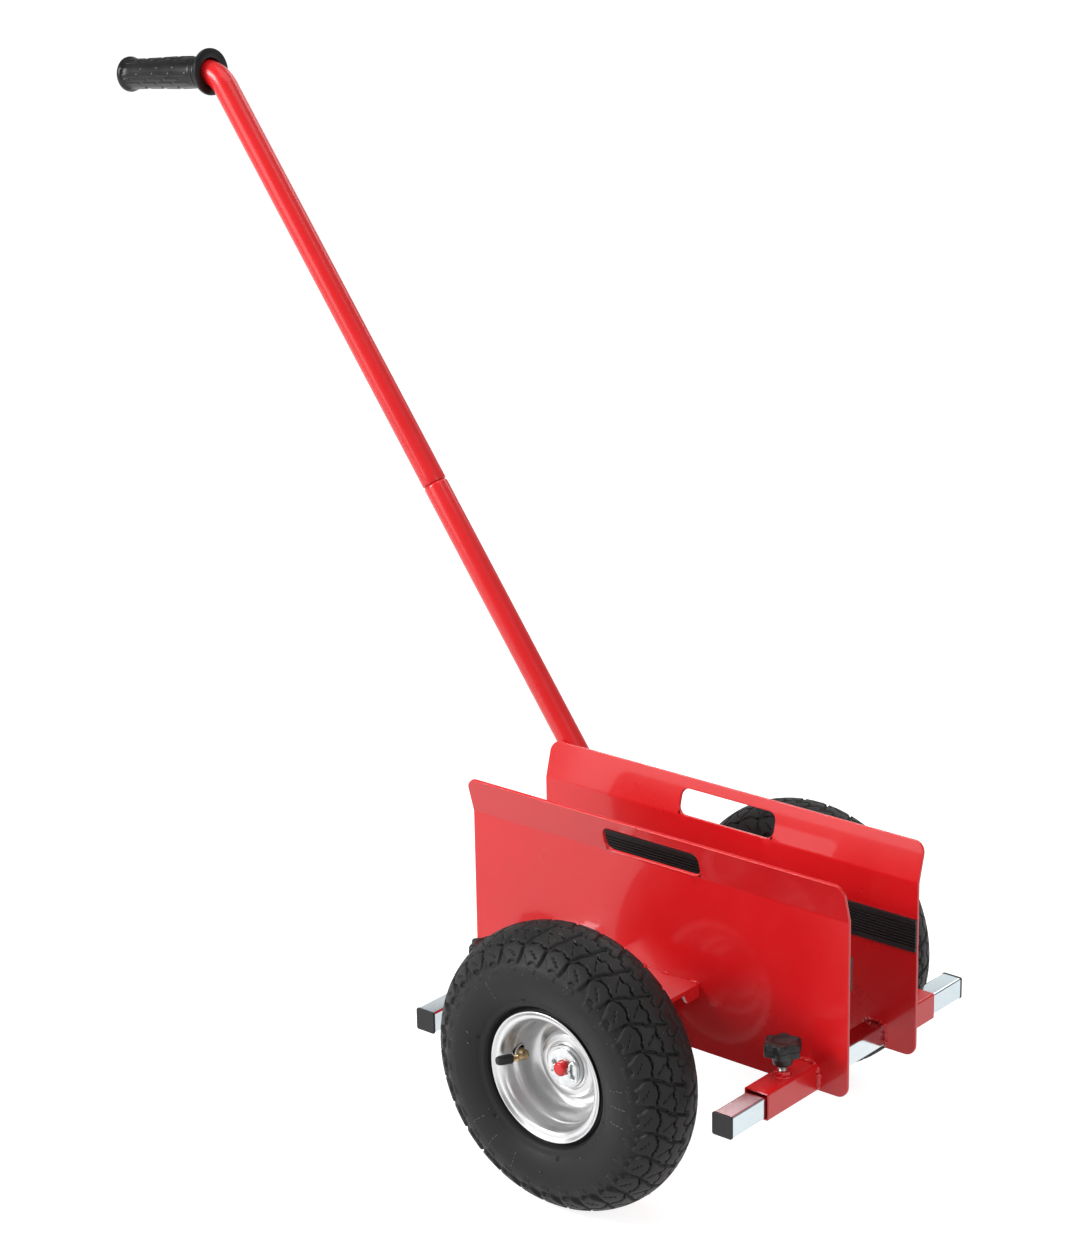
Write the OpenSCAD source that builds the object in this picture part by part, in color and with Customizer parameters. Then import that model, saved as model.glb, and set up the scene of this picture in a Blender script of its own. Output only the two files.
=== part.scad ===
// Two-wheeled hand truck for carrying panels, doors and boards on edge.
// Two bent side plates stand on pneumatic wheels and are clamped along two square cross bars,
// so the bay between them opens or closes to suit the panel. A two-part steering handle
// stands in a socket on the outside of one plate.
//
// Millimetres. +X is the front, +Y the side that carries the handle, +Z up.
// The origin is on the floor, halfway between the wheels and under their axles.
// Side pieces are drawn for the +Y (far) side; the near side is their mirror image.

/* [Wheels] */
// Outer diameter of the tyres
wheel_d = 260; // [200:1:320]
// Greatest width of a tyre
tyre_w = 85; // [60:1:100]
// Distance between the centre planes of the two wheels
track = 352; // [330:1:460]
// Radius of the rim's outer lip
rim_r = 60; // [54:0.5:66]
// Width of the rim over its lips
rim_w = 61; // [50:1:66]
// Thickness of the rim's steel sheet
rim_t = 2; // [1.5:0.1:2.6]
// Thickness of the tyre's side wall
tyre_wall = 6; // [4:0.5:8]
// Thickness of rubber under the tread
tyre_crown = 8; // [6:0.5:12]
// Wall of the inner tube
tube_wall = 1.8; // [1.2:0.1:3]
// Outer diameter of the hub tube
hub_d = 38; // [34:1:44]
// Length of the hub tube
hub_len = 50; // [40:1:60]
// How far the hub reaches outboard of the wheel's centre plane
hub_out = 3; // [0:0.5:8]
// Outer diameter of each ball bearing
bearing_d = 32; // [28:0.5:32]
// Width of each ball bearing
bearing_w = 10; // [7:0.5:12]

/* [Axles] */
// Diameter of each axle
axle_d = 12.7; // [10:0.1:16]
// How far an axle reaches outboard of the wheel's centre plane
axle_out = 12; // [10.5:0.5:16]
// Diameter of the axle washers
washer_d = 34; // [26:1:36]
// Thickness of the axle washers
washer_t = 2; // [1:0.5:3]
// Diameter of the split pin's wire
pin_d = 2.8; // [2:0.1:4]

/* [Side plates] */
// How far each side plate reaches past the centre line of a cross bar
plate_end = 42.5; // [26:0.5:100]
// Height of each side plate from its lower edge to its top edge
plate_h = 200; // [160:1:260]
// Thickness of the steel sheet
plate_t = 3; // [2:0.5:5]
// Clear gap between the two plates
plate_gap = 100; // [90:1:140]
// How far the plates reach below the axles
plate_drop = 18.5; // [8:0.5:22]
// Height of the flared top edge
flare_h = 35; // [32:1:50]
// Angle of the flare, outward from upright
flare_angle = 15.6; // [5:0.1:18]
// Radius of the fold between the plate and its flare, on the hollow face
fold_r = 10; // [4:0.5:16]
// Radius of the plates' corners
corner_r = 11; // [4:0.5:16]
// Length of the hand slot
slot_len = 105; // [90:1:140]
// Width of the hand slot
slot_w = 24; // [18:1:25]
// Radius of the hand slot's corners
slot_r = 8; // [4:0.5:9]
// Width of metal left above the hand slot
slot_rim = 10.5; // [4:0.5:12]

/* [Ribbed pads] */
// Height of the rubber pad on each plate
pad_h = 30; // [20:1:60]
// Thickness of the rubber pad
pad_t = 3; // [2:0.5:8]
// Height of the pad's lower edge above the plate's lower edge
pad_lift = 101; // [60:1:110]
// Number of grooves in the pad
groove_count = 8; // [3:1:9]
// Width of each groove
groove_w = 1.2; // [0.6:0.1:2]
// Depth of each groove
groove_depth = 1.2; // [0.5:0.1:1.6]

/* [Cross bars] */
// Outer width of the square bars
bar_w = 20; // [16:0.5:25]
// Wall of the bars
bar_wall = 1.5; // [1:0.1:2.5]
// Length of the bars over their end caps
bar_len = 348.6; // [330:1:460]
// Gap between the tyres and each bar, fore and aft
bar_gap = 25; // [10:1:40]
// Thickness of an end cap's head
cap_t = 2.2; // [1:0.1:4]
// Depth that an end cap is pushed into its bar
cap_depth = 14; // [8:1:24]

/* [Sleeves] */
// Wall of the square sleeves
sleeve_wall = 1.5; // [1:0.1:3]
// Length of each sleeve, measured out from its plate
sleeve_len = 72.5; // [50:0.5:74]
// Distance of the clamp screw from the plate
screw_out = 35; // [25:0.5:48]

/* [Clamp screws] */
// Diameter of the clamp screw's stud
stud_d = 8; // [6:0.5:10]
// Height of the nut welded to the sleeve
weld_nut_h = 5; // [3:0.5:8]
// Width across the flats of the welded nut
weld_nut_af = 13; // [12:0.5:17]
// Diameter over the knob's lobes
knob_d = 35; // [30:1:50]
// Height of the knob's lobed head
knob_h = 13; // [8:0.5:18]
// Height of the knob's neck under the head
neck_h = 9; // [5:0.5:14]
// Stud left bare between the welded nut and the knob's neck
stud_bare = 5.5; // [4:0.5:12]

/* [Handle] */
// Diameter of the handle tube
handle_d = 24; // [20:0.5:28]
// Wall of the handle tube
handle_wall = 1.5; // [1:0.1:2.5]
// Distance from the far plate's outer face to the handle's centre line
handle_out = 27; // [26:0.5:32]
// Lean of the handle back from upright
handle_lean = 35.86; // [15:0.1:45]
// Length of the lower tube
lower_len = 464; // [300:1:600]
// Length of the upper tube's straight stretch above the joint
upper_len = 431; // [300:1:600]
// Length of the spigot pushed into the lower tube
spigot_len = 90; // [60:1:120]
// Radius of the bend, on the tube's centre line
bend_r = 30; // [26:1:60]
// Droop of the grip below level
grip_droop = 6.6; // [0:0.1:20]
// Height of the handle's lower end above the floor
handle_foot = 152; // [145:1:200]
// Distance of the handle's lower end behind the axle
handle_back = 90.6; // [70:0.1:110]
// Outer diameter of the socket tube on the plate
socket_d = 29; // [27:0.5:32]
// Length of the socket tube
socket_len = 112; // [80:1:140]
// Diameter of the cross bolt that holds the lower tube
bolt_d = 8; // [6:0.5:10]

/* [Grip] */
// Length of the grip over its flanges
grip_len = 117; // [100:1:150]
// Diameter of the grip's body
grip_d = 30; // [28:0.5:36]
// Diameter of the flange next to the tube
guard_d = 45; // [34:1:50]
// Diameter of the flange at the free end
end_d = 34.5; // [32:0.5:44]
// Thickness of the flanges
flange_t = 4; // [2:0.5:8]
// Thickness of the grip's closed end
grip_end_t = 5; // [3:0.5:10]

/* [Hidden] */
// Named clearances
running = 0.05;   // round parts that turn or slide in each other, on the radius
slack = 1;        // each side of a bar in its sleeve
seat = 0.3;       // parts that rest on each other with a film of air
loose = 0.3;      // washer on its axle, on the radius
weld_line = 0.02; // butt joint at each end of the handle's bend

axle_z = wheel_d / 2;
plate_z = axle_z - plate_drop;
plate_y = plate_gap / 2;
plate_out = plate_y + plate_t;
bend_z = plate_z + plate_h - flare_h;
flare_dy = flare_h * tan(flare_angle);
wheel_y = track / 2;

bore_w = bar_w + 2 * slack;
sleeve_w = bore_w + 2 * sleeve_wall;
bar_x = wheel_d / 2 + bar_gap + bar_w / 2;
plate_len = 2 * (bar_x + plate_end);
bar_z = plate_z + sleeve_wall + seat + bar_w / 2;
sleeve_top = plate_z + sleeve_w;
tube_corner = 2;
cap_over = 0.35;          // end cap's head beyond the bar, each side

screw_y = plate_out + screw_out;
screw_z = bar_z + bar_w / 2 + seat;
neck_z = sleeve_top + weld_nut_h + stud_bare;
knob_z = neck_z + neck_h;

hub_in = hub_out - hub_len;
washer_out = hub_out + seat;
pin_out = washer_out + washer_t + seat + pin_d / 2;
bracket_y = 58;           // outer face of the axle bracket, out from the plate
bracket_t = 4;
bracket_half = 50;        // half its length fore and aft
bracket_top = 46;         // its top above the axle
bracket_side = 14;        // height of its upright sheet at the ends
web_foot_r = 18;
gusset_len = 22;
gusset_h = 9;
spacer_d = 20;
spigot_r = handle_d / 2 - handle_wall - 0.08;

socket_r = handle_d / 2 + running;
guard_back = 9.5;         // the grip's guard reaches back over the end of the bend
stop_z = 6;               // socket below the tube's end
handle_y = plate_out + handle_out;
grip_turn = 90 - handle_lean + grip_droop;

// Section of the tyre, as half widths from the wheel's centre plane
section_r = wheel_d / 2 - tyre_depth();
function tyre_depth() = (wheel_d / 2 - rim_r) * 0.557;
function section_point(a, inset_r, inset_w) =
    [section_r + (tyre_depth() - inset_r) * cos(a), (tyre_w / 2 - inset_w) * sin(a)];
function section_arc(inset_r, inset_w, r_low, steps = 20) =
    let (a_end = acos(max(-0.98, (r_low - section_r) / (tyre_depth() - inset_r))))
    [for (i = [-steps:steps]) section_point(a_end * i / steps, inset_r, inset_w)];

// Points after a of the quadratic curve from a to c, pulled towards b
function curve(a, b, c, steps = 6) =
    [for (i = [1:steps]) let (t = i / steps) (1 - t) * (1 - t) * a + 2 * t * (1 - t) * b + t * t * c];

// Outline of a strip of sheet, t thick, whose one face follows the path p
function unit(v) = v / norm(v);
function turned(v) = [-v[1], v[0]];
function mitre(p, i) =
    let (n = len(p) - 1,
         a = turned(unit(p[min(i + 1, n)] - p[min(i, n - 1)])),
         b = turned(unit(p[max(i, 1)] - p[max(i - 1, 0)])),
         m = unit(a + b))
    m / (m * a);
function strip(p, t) =
    concat(p, [for (i = [len(p) - 1:-1:0]) p[i] + t * mitre(p, i)]);

// Faces of the rim, from the wheel's axis out, as [radius, distance outboard]
lip_y = rim_w / 2;
seat_r = rim_r - 8.5;
well_r = seat_r - 4;
web_r = well_r - rim_t;
boss_r = hub_d / 2 + 10.5;
bead_path = concat(
    [[seat_r, lip_y - 8]],
    curve([seat_r, lip_y - 8], [seat_r, lip_y - 3.6], [seat_r + 4, lip_y - 2.8]),
    [[rim_r - 2.2, lip_y - 2.2]]
);
flange_path = concat(
    curve([well_r, 0], [well_r, 12], [seat_r - 2, 14.5]),
    curve([seat_r - 2, 14.5], [seat_r, 17.5], [seat_r, 20]),
    bead_path,
    curve([rim_r - 2.2, lip_y - 2.2], [rim_r, lip_y - 2], [rim_r, lip_y])
);
web_path = concat(
    [[well_r - 0.6, 4]],
    curve([web_r, 4], [web_r - 0.6, -9], [web_r - 8, -9.6]),
    [[web_r - 10, -9.6]],
    curve([web_r - 10, -9.6], [boss_r + 1.5, -9], [boss_r + 0.5, -4]),
    [[boss_r + 0.2, -2.5]],
    curve([boss_r + 0.2, -2.5], [boss_r - 0.2, 0], [boss_r - 2.5, 0.2]),
    [[hub_d / 2, 0.2]]
);

// The valve leaves the rim's well, on the side away from the plate
valve_y = 8.5;
valve_angle = 5;
valve_d = 6;
valve_hole_d = 12;
valve_bend_r = 5;
valve_turn = 112;
valve_tilt = -3;
valve_in = 4.5;           // straight stretch inside the well
valve_tail = 12;
valve_cap_d = 9;
valve_cap_len = 14;

RED = "#d3121c";
ZINC = "#cfd6da";
SILVER = "#b9bcbf";
BLACK = "#1c1c1e";
STEEL = "#8f9499";
BRASS = "#b08d3c";
$fn = 48;

FAR = 1;
NEAR = -1;
FRONT = 1;
REAR = -1;

// ---------- helpers ----------

module on_side(side) { mirror([0, side == FAR ? 0 : 1, 0]) children(); }

// Puts a piece drawn about Z, outboard up, at the wheel's centre on the far side
module on_wheel() { translate([0, wheel_y, axle_z]) rotate([-90, 0, 0]) children(); }

module round_rect(w, h, r) {
    square([w - 2 * r, h], center = true);
    square([w, h - 2 * r], center = true);
    for (x = [-1, 1], y = [-1, 1]) translate([x * (w / 2 - r), y * (h / 2 - r)]) circle(r);
}

module ring(r_out, r_in, h) {
    difference() {
        cylinder(r = r_out, h = h);
        translate([0, 0, -1]) cylinder(r = r_in, h = h + 2);
    }
}

// Square tube along Y, from y0 to y1, centred on x = 0, z = 0
module square_tube(w, wall, y0, y1, r) {
    translate([0, y1, 0]) rotate([90, 0, 0]) linear_extrude(y1 - y0) difference() {
        round_rect(w, w, r);
        round_rect(w - 2 * wall, w - 2 * wall, max(r - wall, 0.4));
    }
}

module hex_prism(af, h) { cylinder(d = af / cos(30), h = h, $fn = 6); }

// ---------- side plates ----------

// The flare's own frame: x along the plate, y up the slope from the bend, z outboard
module on_flare() {
    translate([0, plate_y, bend_z]) rotate([90 - flare_angle, 0, 0]) mirror([0, 0, 1]) children();
}

// The sheet before its corners are cut, a little higher than the plate
module plate_sheet() {
    steps = 8;
    r = fold_r + plate_t;
    fold_z = bend_z - r * tan(flare_angle / 2);
    fold = [for (i = [0:steps]) let (a = flare_angle * i / steps)
        [plate_y + r * (1 - cos(a)), fold_z + r * sin(a)]];
    top = flare_h + 2 * plate_t;
    face = concat([[plate_y, plate_z]], fold, [[plate_y + top * tan(flare_angle), bend_z + top]]);
    translate([-plate_len / 2, 0, 0]) rotate([90, 0, 90]) linear_extrude(plate_len)
        polygon(strip(face, -plate_t));
}

module plate_outline() {
    translate([0, plate_y - 20, plate_z + plate_h / 2]) rotate([-90, 0, 0])
        linear_extrude(60 + flare_dy) round_rect(plate_len, plate_h, corner_r);
}

module hand_slot() {
    slope = flare_h / cos(flare_angle);
    on_flare() translate([0, slope - slot_rim - slot_w / 2, -20])
        linear_extrude(40) round_rect(slot_len, slot_w, slot_r);
}

module bar_notch(end) {
    translate([end * bar_x, 0, plate_z - 1]) linear_extrude(sleeve_w - sleeve_wall + 1)
        translate([-bore_w / 2, 0]) square([bore_w, plate_gap]);
}

module side_plate(side) {
    color(RED) on_side(side) difference() {
        intersection() { plate_sheet(); plate_outline(); }
        hand_slot();
        for (end = [FRONT, REAR]) bar_notch(end);
    }
}

// ---------- ribbed pads ----------

module ribbed_pad(side) {
    pitch = pad_h / (groove_count + 3);
    first = pad_h / 2 - pitch * (groove_count - 1) / 2;
    color(BLACK) on_side(side)
        translate([-plate_len / 2, plate_y - pad_t, plate_z + pad_lift]) difference() {
            cube([plate_len, pad_t, pad_h]);
            for (i = [0:groove_count - 1])
                translate([-1, -1, first + pitch * i - groove_w / 2])
                    cube([plate_len + 2, groove_depth + 1, groove_w]);
        }
}

// ---------- cross bars ----------

module cross_bar(end) {
    half = bar_len / 2 - cap_t;
    color(ZINC) translate([end * bar_x, 0, bar_z])
        square_tube(bar_w, bar_wall, -half, half, tube_corner);
}

module bar_caps(end) {
    plug = bar_w - 2 * bar_wall - 0.3;
    for (side = [NEAR, FAR]) color(BLACK) on_side(side)
        translate([end * bar_x, bar_len / 2, bar_z]) rotate([90, 0, 0]) {
            linear_extrude(cap_t) round_rect(bar_w + 2 * cap_over, bar_w + 2 * cap_over, tube_corner);
            linear_extrude(cap_t + cap_depth) round_rect(plug, plug, 1);
        }
}

// ---------- sleeves and clamp screws ----------

module on_screw(end) { translate([end * bar_x, screw_y, 0]) children(); }

module sleeve(side, end) {
    color(RED) on_side(side) difference() {
        translate([end * bar_x, 0, plate_z + sleeve_w / 2])
            square_tube(sleeve_w, sleeve_wall, plate_out, plate_out + sleeve_len, tube_corner);
        on_screw(end) translate([0, 0, sleeve_top - sleeve_wall - 1])
            cylinder(d = stud_d + 0.6, h = sleeve_wall + 2);
    }
}

module weld_nuts(side) {
    for (end = [FRONT, REAR]) color(RED) on_side(side) on_screw(end)
        translate([0, 0, sleeve_top]) difference() {
            hex_prism(weld_nut_af, weld_nut_h);
            translate([0, 0, -1]) cylinder(d = stud_d + 2 * running, h = weld_nut_h + 2);
        }
}

module stud(side, end) {
    color(ZINC) on_side(side) on_screw(end)
        translate([0, 0, screw_z]) cylinder(d = stud_d, h = neck_z + neck_h - screw_z);
}

module knob(side, end) {
    lobes = 6;
    lobe_r = knob_d * 0.15;
    color(BLACK) on_side(side) on_screw(end) difference() {
        union() {
            translate([0, 0, neck_z]) cylinder(r1 = knob_d * 0.243, r2 = knob_d * 0.286, h = neck_h);
            translate([0, 0, knob_z]) cylinder(d = knob_d * 0.8, h = knob_h);
            for (i = [0:lobes - 1]) rotate(i * 360 / lobes)
                translate([knob_d / 2 - lobe_r, 0, knob_z]) cylinder(r = lobe_r, h = knob_h);
        }
        translate([0, 0, neck_z - 1]) cylinder(d = stud_d + 2 * running, h = neck_h + 1 + seat);
    }
}

// ---------- axles ----------

module axle_bracket(side) {
    reach = bracket_y - bracket_t;
    color(RED) on_side(side) {
        translate([-bracket_half, plate_out, axle_z + bracket_top - bracket_t])
            cube([2 * bracket_half, reach, bracket_t]);
        for (x = [-bracket_half, bracket_half - bracket_t])
            translate([x, plate_out, axle_z + bracket_top - bracket_t])
                rotate([90, 0, 90]) linear_extrude(bracket_t)
                    polygon([[0, 0], [gusset_len, 0], [gusset_len - 5, -gusset_h], [0, -gusset_h]]);
        translate([0, plate_out + bracket_y, axle_z]) rotate([90, 0, 0]) linear_extrude(bracket_t)
            difference() {
                union() {
                    circle(web_foot_r);
                    polygon([[-web_foot_r, 0], [web_foot_r, 0],
                        [bracket_half, bracket_top - bracket_side], [bracket_half, bracket_top],
                        [-bracket_half, bracket_top], [-bracket_half, bracket_top - bracket_side]]);
                }
                circle(d = axle_d + 2 * running);
            }
    }
}

module axle(side) {
    end_y = wheel_y + axle_out;
    dome = 2;
    color(RED) on_side(side) difference() {
        translate([0, plate_out, axle_z]) rotate([-90, 0, 0]) {
            cylinder(d = axle_d, h = end_y - plate_out - dome);
            translate([0, 0, end_y - plate_out - dome])
                cylinder(d1 = axle_d, d2 = axle_d - 2 * dome, h = dome);
        }
        translate([-axle_d, wheel_y + pin_out, axle_z]) rotate([0, 90, 0])
            cylinder(d = pin_d + 4 * running, h = 2 * axle_d);
    }
}

module spacer(side) {
    color(ZINC) on_side(side) translate([0, plate_out + bracket_y, axle_z]) rotate([-90, 0, 0])
        ring(spacer_d / 2, axle_d / 2 + loose,
            wheel_y + hub_in - washer_t - 2 * seat - plate_out - bracket_y);
}

module washers(side) {
    color(ZINC) on_side(side) on_wheel() {
        translate([0, 0, washer_out]) ring(washer_d / 2, axle_d / 2 + loose, washer_t);
        translate([0, 0, hub_in - seat - washer_t]) ring(washer_d / 2, axle_d / 2 + loose, washer_t);
    }
}

// Two legs through the axle, bent apart behind it, and an eye at the front
module split_pin(side) {
    eye_r = 3.6;
    leg = axle_d / 2 + 3;
    color(ZINC) on_side(side) translate([0, wheel_y + pin_out, axle_z]) {
        translate([-leg, 0, 0]) rotate([0, 90, 0]) cylinder(d = pin_d, h = 2 * leg - 1);
        translate([leg + eye_r - 1.2, 0, 0])
            rotate([90, 0, 0]) rotate_extrude() translate([eye_r, 0]) circle(d = pin_d);
    }
}

// ---------- wheels ----------

module tyre(side) {
    bead_in = lip_y - 13;
    low = rim_r + 6;
    outer = section_arc(0, 0, low);
    inner = section_arc(tyre_crown, tyre_wall, low);
    bead = [for (i = [len(bead_path) - 1:-1:0]) bead_path[i] - seat * mitre(bead_path, i)];
    right = concat([[rim_r + 1.6, lip_y - 2.2]], bead, [[seat_r + seat, bead_in], [rim_r - 2, bead_in]]);
    left = [for (i = [len(right) - 1:-1:0]) [right[i][0], -right[i][1]]];
    color(BLACK) on_side(side) on_wheel() rotate_extrude($fn = 96)
        polygon(concat(outer, right, [for (i = [len(inner) - 1:-1:0]) inner[i]], left));
}

function tube_section(k) =
    let (low = rim_r + 7,
         arc = section_arc(tyre_crown + k, tyre_wall + k, low),
         y = lip_y - 16.5 - k)
    concat(arc, [[rim_r - 2, y], [seat_r + k + 2, y - 4], [seat_r + k + 2, 4 - y], [rim_r - 2, -y]]);

module inner_tube(side) {
    color(BLACK) on_side(side) difference() {
        on_wheel() rotate_extrude($fn = 96) difference() {
            polygon(tube_section(2 * seat));
            polygon(tube_section(2 * seat + tube_wall));
        }
        on_valve() cylinder(d = 3, h = 30, center = true);
    }
}

module rim(side) {
    inboard = [for (i = [len(flange_path) - 1:-1:0]) [flange_path[i][0], -flange_path[i][1]]];
    barrel = strip(concat(inboard, [[well_r, 0]], flange_path), rim_t);
    color(SILVER) on_side(side) difference() {
        on_wheel() rotate_extrude($fn = 96) {
            polygon(barrel);
            polygon(strip(web_path, rim_t));
        }
        on_valve() translate([0, 0, -6]) cylinder(d = valve_hole_d, h = 12);
    }
}

module hub(side) {
    color(SILVER) on_side(side) on_wheel() translate([0, 0, hub_in]) difference() {
        cylinder(d = hub_d - 2 * running, h = hub_len);
        translate([0, 0, -1]) cylinder(d = bearing_d - 4, h = hub_len + 2);
        translate([0, 0, -1]) cylinder(d = bearing_d, h = bearing_w + 1.5);
        translate([0, 0, hub_len - bearing_w - 0.5]) cylinder(d = bearing_d, h = bearing_w + 1.5);
    }
}

module bearings(side) {
    color(STEEL) on_side(side) on_wheel()
        for (z = [hub_in + 0.5, hub_out - 0.5 - bearing_w]) translate([0, 0, z])
            rotate_extrude() difference() {
                translate([axle_d / 2 + running, 0])
                    square([bearing_d / 2 - axle_d / 2 - 2 * running, bearing_w]);
                for (y = [-0.2, bearing_w - 0.8])
                    translate([axle_d / 2 + 2.4, y]) square([bearing_d / 2 - axle_d / 2 - 4.8, 1]);
            }
}

// Frame of the valve where it passes the rim's well: z points at the axle
module on_valve() {
    translate([0, wheel_y + valve_y, axle_z]) rotate([0, valve_angle, 0])
        translate([-web_r, 0, 0]) rotate([0, 90, 0]) children();
}

// Frame of the stretch beyond the valve's bend
module on_valve_tail() {
    on_valve() rotate(-valve_tilt) translate([0, 0, valve_in])
        translate([0, valve_bend_r, 0]) rotate([-valve_turn, 0, 0]) translate([0, -valve_bend_r, 0])
            children();
}

module valve_stem(side) {
    foot = seat_r - web_r + 2;
    color(BRASS) on_side(side) {
        on_valve() translate([0, 0, -foot]) cylinder(d = valve_d, h = foot + valve_in);
        on_valve() rotate(-valve_tilt) translate([0, valve_bend_r, valve_in])
            rotate([0, -90, 0]) rotate(-90) rotate_extrude(angle = valve_turn)
                translate([valve_bend_r, 0]) circle(d = valve_d);
        on_valve_tail() cylinder(d = valve_d, h = valve_tail);
        on_valve() translate([0, 0, valve_in]) sphere(d = valve_d + 0.6);
        on_valve_tail() sphere(d = valve_d + 0.6);
    }
}

module valve_cap(side) {
    color(BLACK) on_side(side) on_valve_tail() translate([0, 0, valve_tail]) {
        cylinder(d = valve_cap_d, h = valve_cap_len - 3);
        translate([0, 0, valve_cap_len - 3]) cylinder(d1 = valve_cap_d, d2 = valve_cap_d - 2.5, h = 3);
    }
}

// ---------- handle ----------

// Frame of the handle: z runs up the lower tube from its foot
module on_handle() {
    translate([-handle_back, handle_y, handle_foot]) rotate([0, -handle_lean, 0]) children();
}

// Frame past the bend: z runs out along the grip from the end of the bend
module on_grip() {
    on_handle() translate([-bend_r, 0, lower_len + upper_len]) rotate([0, -grip_turn, 0])
        translate([bend_r, 0, 0]) children();
}

grip_tube = grip_len - grip_end_t - 8;

module bend(r) { rotate_extrude(angle = grip_turn) translate([bend_r, 0]) circle(r); }

// Straight stretch with its spigot, then the bend, then the stretch inside the grip
module handle_upper_tube() {
    r_out = handle_d / 2;
    r_in = r_out - handle_wall;
    spigot_in = spigot_r - handle_wall;
    neck = 8;
    color(RED) {
        on_handle() translate([0, 0, lower_len]) rotate_extrude() polygon([
            [spigot_in, -spigot_len], [spigot_r, -spigot_len], [spigot_r, 0], [r_out, 0],
            [r_out, upper_len - weld_line], [r_in, upper_len - weld_line], [r_in, neck], [spigot_in, neck]]);
        on_handle() translate([-bend_r, 0, lower_len + upper_len]) rotate([90, 0, 0])
            difference() {
                bend(r_out);
                bend(r_in);
            }
        on_grip() translate([0, 0, weld_line]) ring(r_out, r_in, grip_tube - weld_line);
    }
}

module handle_lower_tube() {
    shoulder = 3;
    color(RED) difference() {
        on_handle() {
            cylinder(d = handle_d, h = lower_len - shoulder - seat);
            translate([0, 0, lower_len - shoulder - seat])
                cylinder(d1 = handle_d, d2 = handle_d - 2, h = shoulder);
        }
        on_handle() translate([0, 0, -1]) cylinder(d = handle_d - 2 * handle_wall, h = lower_len + 2);
        bolt_path(bolt_d / 2 + running);
    }
}

module bolt_path(r) {
    on_handle() translate([-40, 0, socket_len * 0.45]) rotate([0, 90, 0]) cylinder(r = r, h = 80);
}

module handle_socket() {
    web_t = 5;
    web_gap = handle_out - socket_d / 2;
    color(RED) difference() {
        on_handle() {
            translate([0, 0, -stop_z]) cylinder(d = socket_d, h = socket_len + stop_z);
            for (x = [-1, 1])
                translate([x * (socket_d / 2 - web_t / 2 - 3) - web_t / 2, -handle_out, 8])
                    cube([web_t, web_gap + 7, socket_len - 20]);
        }
        on_handle() translate([0, 0, -seat]) cylinder(r = socket_r, h = socket_len + 2);
        bolt_path(bolt_d / 2 + running);
    }
}

module handle_bolt() {
    reach = socket_d / 2 + seat;
    nut_h = 6.5;
    color(ZINC) on_handle() translate([0, 0, socket_len * 0.45]) rotate([0, 90, 0]) {
        translate([0, 0, -reach - 2]) cylinder(d = bolt_d, h = 2 * reach + nut_h + 4);
        translate([0, 0, -reach - 5.3]) rotate(30) hex_prism(bolt_d * 1.6, 5.3);
    }
}

module handle_nut() {
    color(ZINC) on_handle() translate([socket_d / 2 + seat, 0, socket_len * 0.45]) rotate([0, 90, 0])
        difference() {
            rotate(30) hex_prism(bolt_d * 1.6, 6.5);
            translate([0, 0, -1]) cylinder(d = bolt_d + 2 * running, h = 10);
        }
}

module handle_grip() {
    bore_r = handle_d / 2 + running;
    inside_r = bend_r - handle_d / 2;
    drift = inside_r - sqrt(inside_r * inside_r - guard_back * guard_back);
    color(BLACK) on_grip() translate([0, 0, -guard_back]) difference() {
        union() {
            cylinder(d = guard_d, h = flange_t);
            translate([0, 0, flange_t]) cylinder(d1 = guard_d - 8, d2 = grip_d - 1, h = 5);
            cylinder(d = grip_d - 1, h = grip_len);
            translate([0, 0, 24]) cylinder(d = grip_d, h = grip_len - 40);
            translate([0, 0, grip_len - flange_t]) cylinder(d = end_d, h = flange_t);
        }
        translate([0, 0, -running]) cylinder(r1 = bore_r + drift, r2 = bore_r, h = guard_back);
        cylinder(r = bore_r, h = guard_back + grip_tube + seat);
    }
}

// ---------- the assembly ----------

side_plate(FAR);  // far_plate
ribbed_pad(FAR);  // far_pad
sleeve(FAR, FRONT);  // far_front_sleeve
sleeve(FAR, REAR);  // far_rear_sleeve
weld_nuts(FAR);  // far_weld_nuts
axle_bracket(FAR);  // far_axle_bracket
axle(FAR);  // far_axle
spacer(FAR);  // far_spacer
washers(FAR);  // far_washers
split_pin(FAR);  // far_split_pin

side_plate(NEAR);  // near_plate
ribbed_pad(NEAR);  // near_pad
sleeve(NEAR, FRONT);  // near_front_sleeve
sleeve(NEAR, REAR);  // near_rear_sleeve
weld_nuts(NEAR);  // near_weld_nuts
axle_bracket(NEAR);  // near_axle_bracket
axle(NEAR);  // near_axle
spacer(NEAR);  // near_spacer
washers(NEAR);  // near_washers
split_pin(NEAR);  // near_split_pin

cross_bar(FRONT);  // front_bar
bar_caps(FRONT);  // front_bar_caps
cross_bar(REAR);  // rear_bar
bar_caps(REAR);  // rear_bar_caps

stud(FAR, FRONT);  // far_front_stud
knob(FAR, FRONT);  // far_front_knob
stud(FAR, REAR);  // far_rear_stud
knob(FAR, REAR);  // far_rear_knob
stud(NEAR, FRONT);  // near_front_stud
knob(NEAR, FRONT);  // near_front_knob
stud(NEAR, REAR);  // near_rear_stud
knob(NEAR, REAR);  // near_rear_knob

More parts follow.
